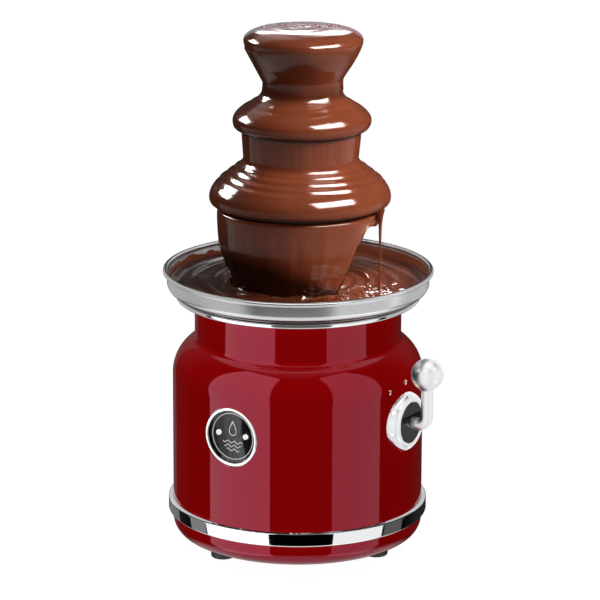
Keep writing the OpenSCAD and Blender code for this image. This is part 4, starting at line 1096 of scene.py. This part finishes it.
class FOUNTAIN_OT_inner_works(bpy.types.Operator):
    """Gives the frame's own nodes their finishes"""

    bl_idname = "fountain.inner_works"
    bl_label = "Finishes of the inner works"

    def execute(self, context):
        colours = context.scene.fountain_colours
        finishes = {
            "red_gloss": bpy.data.materials["gloss red"],
            "chrome_trim": bpy.data.materials["bright chrome"],
            "ball_chrome": bpy.data.materials["lever chrome"],
            "bowl_steel": brushed("sheet steel", colours.steel, 0.3),
            "black_plastic": grained("moulded black", colours.black, 0.45),
            "foot_rubber": bpy.data.materials["foot rubber"],
            "zinc_steel": brushed("zinc plate", (0.5, 0.51, 0.54), 0.34),
            "stator_iron": grained("stator iron", (0.06, 0.065, 0.075), 0.6, 0.2, 700.0, 0.2, 0.7),
            "rotor_core": grained("rotor varnish", (0.22, 0.1, 0.04), 0.45, 0.2, 600.0, 0.15, 0.4),
            "brass_parts": brushed("machined brass", (0.62, 0.43, 0.16), 0.28),
            "gearbox_plastic": grained("gearbox grey", (0.13, 0.15, 0.18), 0.5),
            "gear_plastic": grained("gear ivory", (0.78, 0.74, 0.62), 0.42),
            "seal_rubber": grained("seal silicone", (0.3, 0.01, 0.01), 0.5),
            "heater_cast": grained("cast aluminium", (0.6, 0.6, 0.62), 0.5, 0.2, 500.0, 0.3, 1.0),
            "heater_sheath": grained("heater sheath", (0.1, 0.1, 0.105), 0.45, 0.2, 800.0, 0.15, 0.9),
            "ceramic": grained("ceramic", (0.74, 0.68, 0.56), 0.55),
            "lens_clear": bpy.data.materials["clear lens"],
            "lamp_white": bpy.data.materials["print white"],
            "board_green": grained("board green", (0.006, 0.05, 0.018), 0.4),
            "tower_plastic": grained("tower ivory", (0.7, 0.68, 0.63), 0.38),
            "chocolate": bpy.data.materials["wet chocolate"],
        }
        for part in frame["record"]["subparts"]:
            node = frame["nodes"][part["node"]]
            node.data.materials.clear()
            node.data.materials.append(finishes[part["material_slot"]])
        return {"FINISHED"}


# Stage


class FOUNTAIN_OT_stage(bpy.types.Operator):
    """Sets the floor, the world, the lamps and the camera"""

    bl_idname = "fountain.stage"
    bl_label = "Stage"

    # The pieces that some lamps are limited to
    FLOWS = ("flow_crown", "flow_middle", "flow_lower", "flow_thread")
    GROUPS = {
        "flow": FLOWS,
        "wet": (*FLOWS, "pool"),
        "pool": ("pool",),
        "crown": ("flow_crown",),
        "lever": ("lever_knob", "lever_crank", "selector_bezel_bright"),
        "crank": ("lever_crank",),
        "lens": ("badge_glass",),
        "band": ("trim_band_bright",),
        "shells": ("housing_upper", "housing_lower"),
        "bowl": ("bowl_steel",),
        "steel": ("bowl_steel", "seat_ring_bright"),
    }
    # Lamps that light without a mirror image: pieces, azimuth from the view and elevation in degrees,
    # width and height in metres, power in watts
    KEYS = {
        "key": ("wet", 68.0, 34.0, (1.2, 0.9), 50.0),
        "key_low": ("wet", 32.0, 15.0, (0.3, 0.25), 8.0),
        "key_left": ("wet", -98.0, 25.0, (1.0, 1.0), 9.0),
    }
    # Cards that only their mirror image shows: the same, and a turn about their own middle in degrees
    CARDS = {
        "window_right": ("wet", 55.0, 44.0, (2.0, 1.15), 361.0, -10.0),
        "window_left": ("flow", -124.0, 24.0, (1.0, 0.7), 88.0, 10.0),
        "rim_left": ("flow", -150.0, 42.0, (1.8, 1.0), 5.0),
        "band_back": ("band", 180.0, 16.0, (4.0, 1.3), 9.0),
        "glint_back": ("pool", 166.0, 33.0, (1.0, 0.26), 36.0),
        "card_back": ("crown", 180.0, 8.0, (1.7, 0.62), 1.9),
        "strip_back": ("crown", 180.0, 22.0, (0.8, 0.42), 9.0),
        "sheet_front": ("steel", 3.0, -8.0, (3.4, 4.4), 6.0),
        "sheet_left": ("steel", -128.0, 12.0, (3.4, 4.4), 22.0),
        "sheet_right": ("steel", 124.0, 12.0, (3.4, 4.4), 26.0),
        "sheet_high": ("bowl", 0.0, 45.0, (3.4, 1.2), 24.0),
    }
    # A low ring of cards round the flow: power of each from left to right, first azimuth and step in degrees
    TABLE_CARDS, TABLE_FIRST, TABLE_STEP = (1.79,) * 6 + (2.3,) * 3, -107.3, 27.33
    # Broad cards whose light fades sideways: pieces, azimuth and elevation in degrees
    SOFT_CARDS = {
        "card_front": ("lever", -20.0, 0.0),
        "card_right": ("lever", 67.0, 0.0),
        "card_far": ("lever", 154.0, 0.0),
        "card_top": ("lever", 20.0, 84.0),
        "card_left": ("crank", -107.0, 0.0),
    }
    # Tall upright boxes: pieces, first and last azimuth from the view in degrees, brightness
    BOXES = {
        "box_left": ("boxed", -87.0, -25.0, 1.45),
        "box_right": ("boxed", 31.5, 80.5, 0.95),
        "bowl_left": ("bowl", -95.0, -46.0, 0.55),
        "bowl_right": ("bowl", 31.5, 100.0, 0.64),
        "lens_strip_0": ("lens", -62.0, -55.0, 2.2),
        "lens_strip_1": ("lens", -69.0, -62.0, 1.7),
        "lens_strip_2": ("lens", -76.0, -69.0, 0.9),
        "lens_strip_3": ("lens", -83.0, -76.0, 0.3),
        "step_left": ("band", -109.0, -88.0, 0.22),
        "step_far": ("band", -164.0, -130.0, 0.16),
        "step_right": ("band", 83.0, 106.0, 0.1),
        "edge_left": ("shells", -176.0, -150.0, 0.08),
    }
    # Even light from far away on the dry pieces: azimuth and elevation in degrees, strength
    FILLS = {
        "fill_left": (-58.0, 8.0, 2.4),
        "fill_right": (58.0, 8.0, 2.1),
        "fill_front": (0.0, 12.0, 0.75),
        "fill_back_left": (-140.0, 20.0, 1.25),
        "fill_back_right": (140.0, 20.0, 1.25),
        "fill_top": (0.0, 88.0, 1.2),
    }

    def execute(self, context):
        scene = context.scene
        scene.view_settings.view_transform = "Standard"
        self.floor()
        self.world(scene)
        self.lamps()
        self.camera(scene)
        return {"FINISHED"}

    @staticmethod
    def floor():
        deselect_all()
        bpy.ops.mesh.primitive_circle_add(vertices=96, radius=9.0, fill_type="NGON", location=(0, 0, -0.0002))
        floor = bpy.context.object
        floor.name = "studio_floor"
        material = bpy.data.materials.new("pale floor")
        material.use_nodes = True
        tree = material.node_tree
        tree.nodes.remove(tree.nodes["Principled BSDF"])
        seen = tree.nodes.new("ShaderNodeLightPath").outputs["Is Camera Ray"]
        tone = math_node(tree, "MULTIPLY_ADD", seen, 0.6, 0.3)
        matt = add_node(tree, "ShaderNodeBsdfDiffuse", {"Color": tone})
        glow = add_node(tree, "ShaderNodeEmission", {"Strength": math_node(tree, "MULTIPLY", seen, 0.975)})
        both = add_node(tree, "ShaderNodeAddShader", {0: matt.outputs[0], 1: glow.outputs[0]})
        tree.links.new(both.outputs[0], tree.nodes["Material Output"].inputs["Surface"])
        floor.data.materials.append(material)
        floor.visible_glossy = floor.visible_shadow = False
        floor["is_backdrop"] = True

    @staticmethod
    def world(scene):
        """White where the camera looks, a dark studio in reflections and a faint even sky elsewhere."""
        world = bpy.data.worlds.new("studio")
        scene.world = world
        world.use_nodes = True
        tree = world.node_tree
        place = tree.nodes.new("ShaderNodeTexCoord").outputs["Generated"]
        turned_place = add_node(
            tree, "ShaderNodeVectorRotate", {"Vector": place, "Angle": -VIEW}, rotation_type="Z_AXIS"
        ).outputs[0]
        parts = add_node(tree, "ShaderNodeSeparateXYZ", {0: turned_place}).outputs
        back = math_node(tree, "MULTIPLY", parts["Y"], -1.0)
        side = math_node(tree, "DEGREES", math_node(tree, "ARCTAN2", parts["X"], back))
        up = math_node(tree, "DEGREES", math_node(tree, "ARCSINE", parts["Z"]))
        away = math_node(tree, "ABSOLUTE", side)
        behind = ramp_between(tree, away, 100.0, 150.0)
        low = ramp_between(tree, up, -4.0, 16.0, 0.02, 0.06)
        open_side = math_node(tree, "MULTIPLY", low, math_node(tree, "MULTIPLY_ADD", behind, 0.96, 0.04))
        overhead = math_node(tree, "MULTIPLY", ramp_between(tree, up, 60.0, 80.0), 0.3)
        ground = ramp_between(tree, up, -46.0, -30.0, 0.85, 0.0)
        studio = math_node(tree, "MAXIMUM", open_side, math_node(tree, "MAXIMUM", overhead, ground))
        sky = ramp_between(tree, up, -30.0, 75.0, 0.035, 0.06)
        path = tree.nodes.new("ShaderNodeLightPath").outputs
        mirror = math_node(tree, "ADD", path["Is Glossy Ray"], path["Is Transmission Ray"], clamp=True)
        light = add_node(tree, "ShaderNodeMix", {0: mirror, 2: sky, 3: studio}).outputs[0]
        light = add_node(tree, "ShaderNodeMix", {0: path["Is Camera Ray"], 2: light, 3: 1.0}).outputs[0]
        tree.links.new(light, tree.nodes["Background"].inputs["Strength"])
        tree.nodes["Background"].inputs["Color"].default_value = (1, 1, 1, 1)

    def lamps(self):
        """Hangs the keys, cards, boxes and fills, each on its own pieces."""
        groups = self.gathered()
        for name, (group, *place) in self.KEYS.items():
            self.window(name, groups[group], *place).visible_glossy = False
        for name, (group, *place) in self.CARDS.items():
            self.window(name, groups[group], *place).visible_diffuse = False
        bpy.data.lights["card_back"].color = (0.8, 0.84, 1.0)
        for index, power in enumerate(self.TABLE_CARDS):
            side = self.TABLE_FIRST + self.TABLE_STEP * index
            card = self.window("table_%d" % index, groups["flow"], side, -17.0, (1.073, 0.9), power)
            card.visible_diffuse = False
        broad, power, spread = (4.4, 4.4), 44.0, 2.7
        for name, (group, side, up) in self.SOFT_CARDS.items():
            self.window(name, groups[group], side, up, broad, power).data.spread = spread
        for name, (group, *place) in self.BOXES.items():
            self.soft_box(name, groups[group], *place)
        for name, (side, up, strength) in self.FILLS.items():
            lamp = bpy.data.lights.new(name, "SUN")
            lamp.energy, lamp.angle, lamp.use_shadow = strength, 0.4, False
            self.hung(name, lamp, side, up, groups["dry"]).visible_glossy = False
        for name in (*self.GROUPS["lever"], "housing_upper"):
            bpy.data.objects[name].visible_glossy = False

    def gathered(self):
        """Collections of the pieces that lamps are limited to."""
        names = dict(self.GROUPS)
        apart = {"studio_floor", "badge_plate", *names["wet"], *names["lever"], *names["lens"]}
        meshes = [piece.name for piece in bpy.data.objects if piece.type == "MESH"]
        names["dry"] = [name for name in meshes if name not in apart]
        names["boxed"] = [name for name in names["dry"] if name not in names["bowl"]]
        groups = {}
        for group, pieces in names.items():
            groups[group] = bpy.data.collections.new(group + " pieces")
            for piece in pieces:
                groups[group].objects.link(bpy.data.objects[piece])
        return groups

    def window(self, name, pieces, side, up, size, power, roll=0.0):
        """A rectangular lamp towards one side and height of the view, turned about its own middle."""
        lamp = bpy.data.lights.new(name, "AREA")
        lamp.shape, lamp.energy = "RECTANGLE", power
        lamp.size, lamp.size_y = size
        holder = self.hung(name, lamp, side, up, pieces)
        turn = holder.rotation_euler.to_matrix() @ Matrix.Rotation(math.radians(roll), 3, "Z")
        holder.rotation_euler = turn.to_euler()
        return holder

    def soft_box(self, name, pieces, first, last, strength, far=4.0):
        """A tall upright box between two azimuths of the view, seen in reflections only."""
        half = math.radians(last - first) / 2
        low, high = math.radians(-50.0), math.radians(64.0)
        level = far * math.cos(half)
        lamp = bpy.data.lights.new(name, "AREA")
        lamp.shape = "RECTANGLE"
        lamp.size, lamp.size_y = 2 * far * math.sin(half), level * (math.tan(high) - math.tan(low))
        lamp.energy = strength * math.pi * lamp.size * lamp.size_y
        middle = 0.13 + level * (math.tan(high) + math.tan(low)) / 2
        holder = self.hung(name, lamp, (first + last) / 2, 0.0, pieces, level, middle)
        holder.visible_diffuse = False

    @staticmethod
    def hung(name, lamp, side, up, pieces, far=2.3, aim=0.28):
        """Hangs a lamp at an azimuth from the view and an elevation, and limits it to some pieces."""
        holder = bpy.data.objects.new(name, lamp)
        bpy.context.scene.collection.objects.link(holder)
        turn, rise = VIEW + math.radians(side), math.radians(up)
        level = far * math.cos(rise)
        holder.location = (level * math.sin(turn), -level * math.cos(turn), aim + far * math.sin(rise))
        holder.rotation_euler = (math.pi / 2 - rise, 0, turn)
        holder.visible_camera = False
        holder.light_linking.receiver_collection = pieces
        return holder

    @staticmethod
    def camera(scene):
        lens = bpy.data.cameras.new("view")
        lens.lens, lens.sensor_width, lens.shift_x = 212.1, 36.0, 0.0032
        holder = bpy.data.objects.new("view", lens)
        scene.collection.objects.link(holder)
        far, height, down, roll = 2.529, 0.8887, math.radians(15.47), math.radians(0.2)
        holder.location = (far * math.sin(VIEW), -far * math.cos(VIEW), height)
        level = Matrix.Rotation(VIEW, 3, "Z") @ Matrix.Rotation(math.pi / 2 - down, 3, "X")
        holder.rotation_euler = (level @ Matrix.Rotation(roll, 3, "Z")).to_euler()
        scene.camera = holder


class FOUNTAIN_PT_panel(bpy.types.Panel):
    """Lists the fountain's pieces and settings"""

    bl_label = "Chocolate Fountain"
    bl_space_type = "VIEW_3D"
    bl_region_type = "UI"
    bl_category = "Fountain"

    def draw(self, context):
        for operator in OPERATORS:
            self.layout.operator(operator.bl_idname)
        for settings in (context.scene.fountain_sizes, context.scene.fountain_colours):
            for name in settings.__annotations__:
                self.layout.prop(settings, name)


OPERATORS = (
    FOUNTAIN_OT_housing,
    FOUNTAIN_OT_trim,
    FOUNTAIN_OT_bowl,
    FOUNTAIN_OT_badge,
    FOUNTAIN_OT_selector,
    FOUNTAIN_OT_gland,
    FOUNTAIN_OT_tower,
    FOUNTAIN_OT_pool,
    FOUNTAIN_OT_inner_works,
    FOUNTAIN_OT_stage,
)
CLASSES = (FountainColours, FountainSizes, *OPERATORS, FOUNTAIN_PT_panel)


def register():
    for cls in CLASSES:
        bpy.utils.register_class(cls)
    bpy.types.Scene.fountain_colours = bpy.props.PointerProperty(type=FountainColours)
    bpy.types.Scene.fountain_sizes = bpy.props.PointerProperty(type=FountainSizes)


def unregister():
    del bpy.types.Scene.fountain_sizes
    del bpy.types.Scene.fountain_colours
    for cls in reversed(CLASSES):
        bpy.utils.unregister_class(cls)


def main():
    register()
    for operator in OPERATORS:
        group, name = operator.bl_idname.split(".")
        getattr(getattr(bpy.ops, group), name)()
    boxes = {"cad": CAD_BOX, "visual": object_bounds()}
    boxes = {key: [list(corner) for corner in box] for key, box in boxes.items()}


if __name__ == "__main__":
    main()
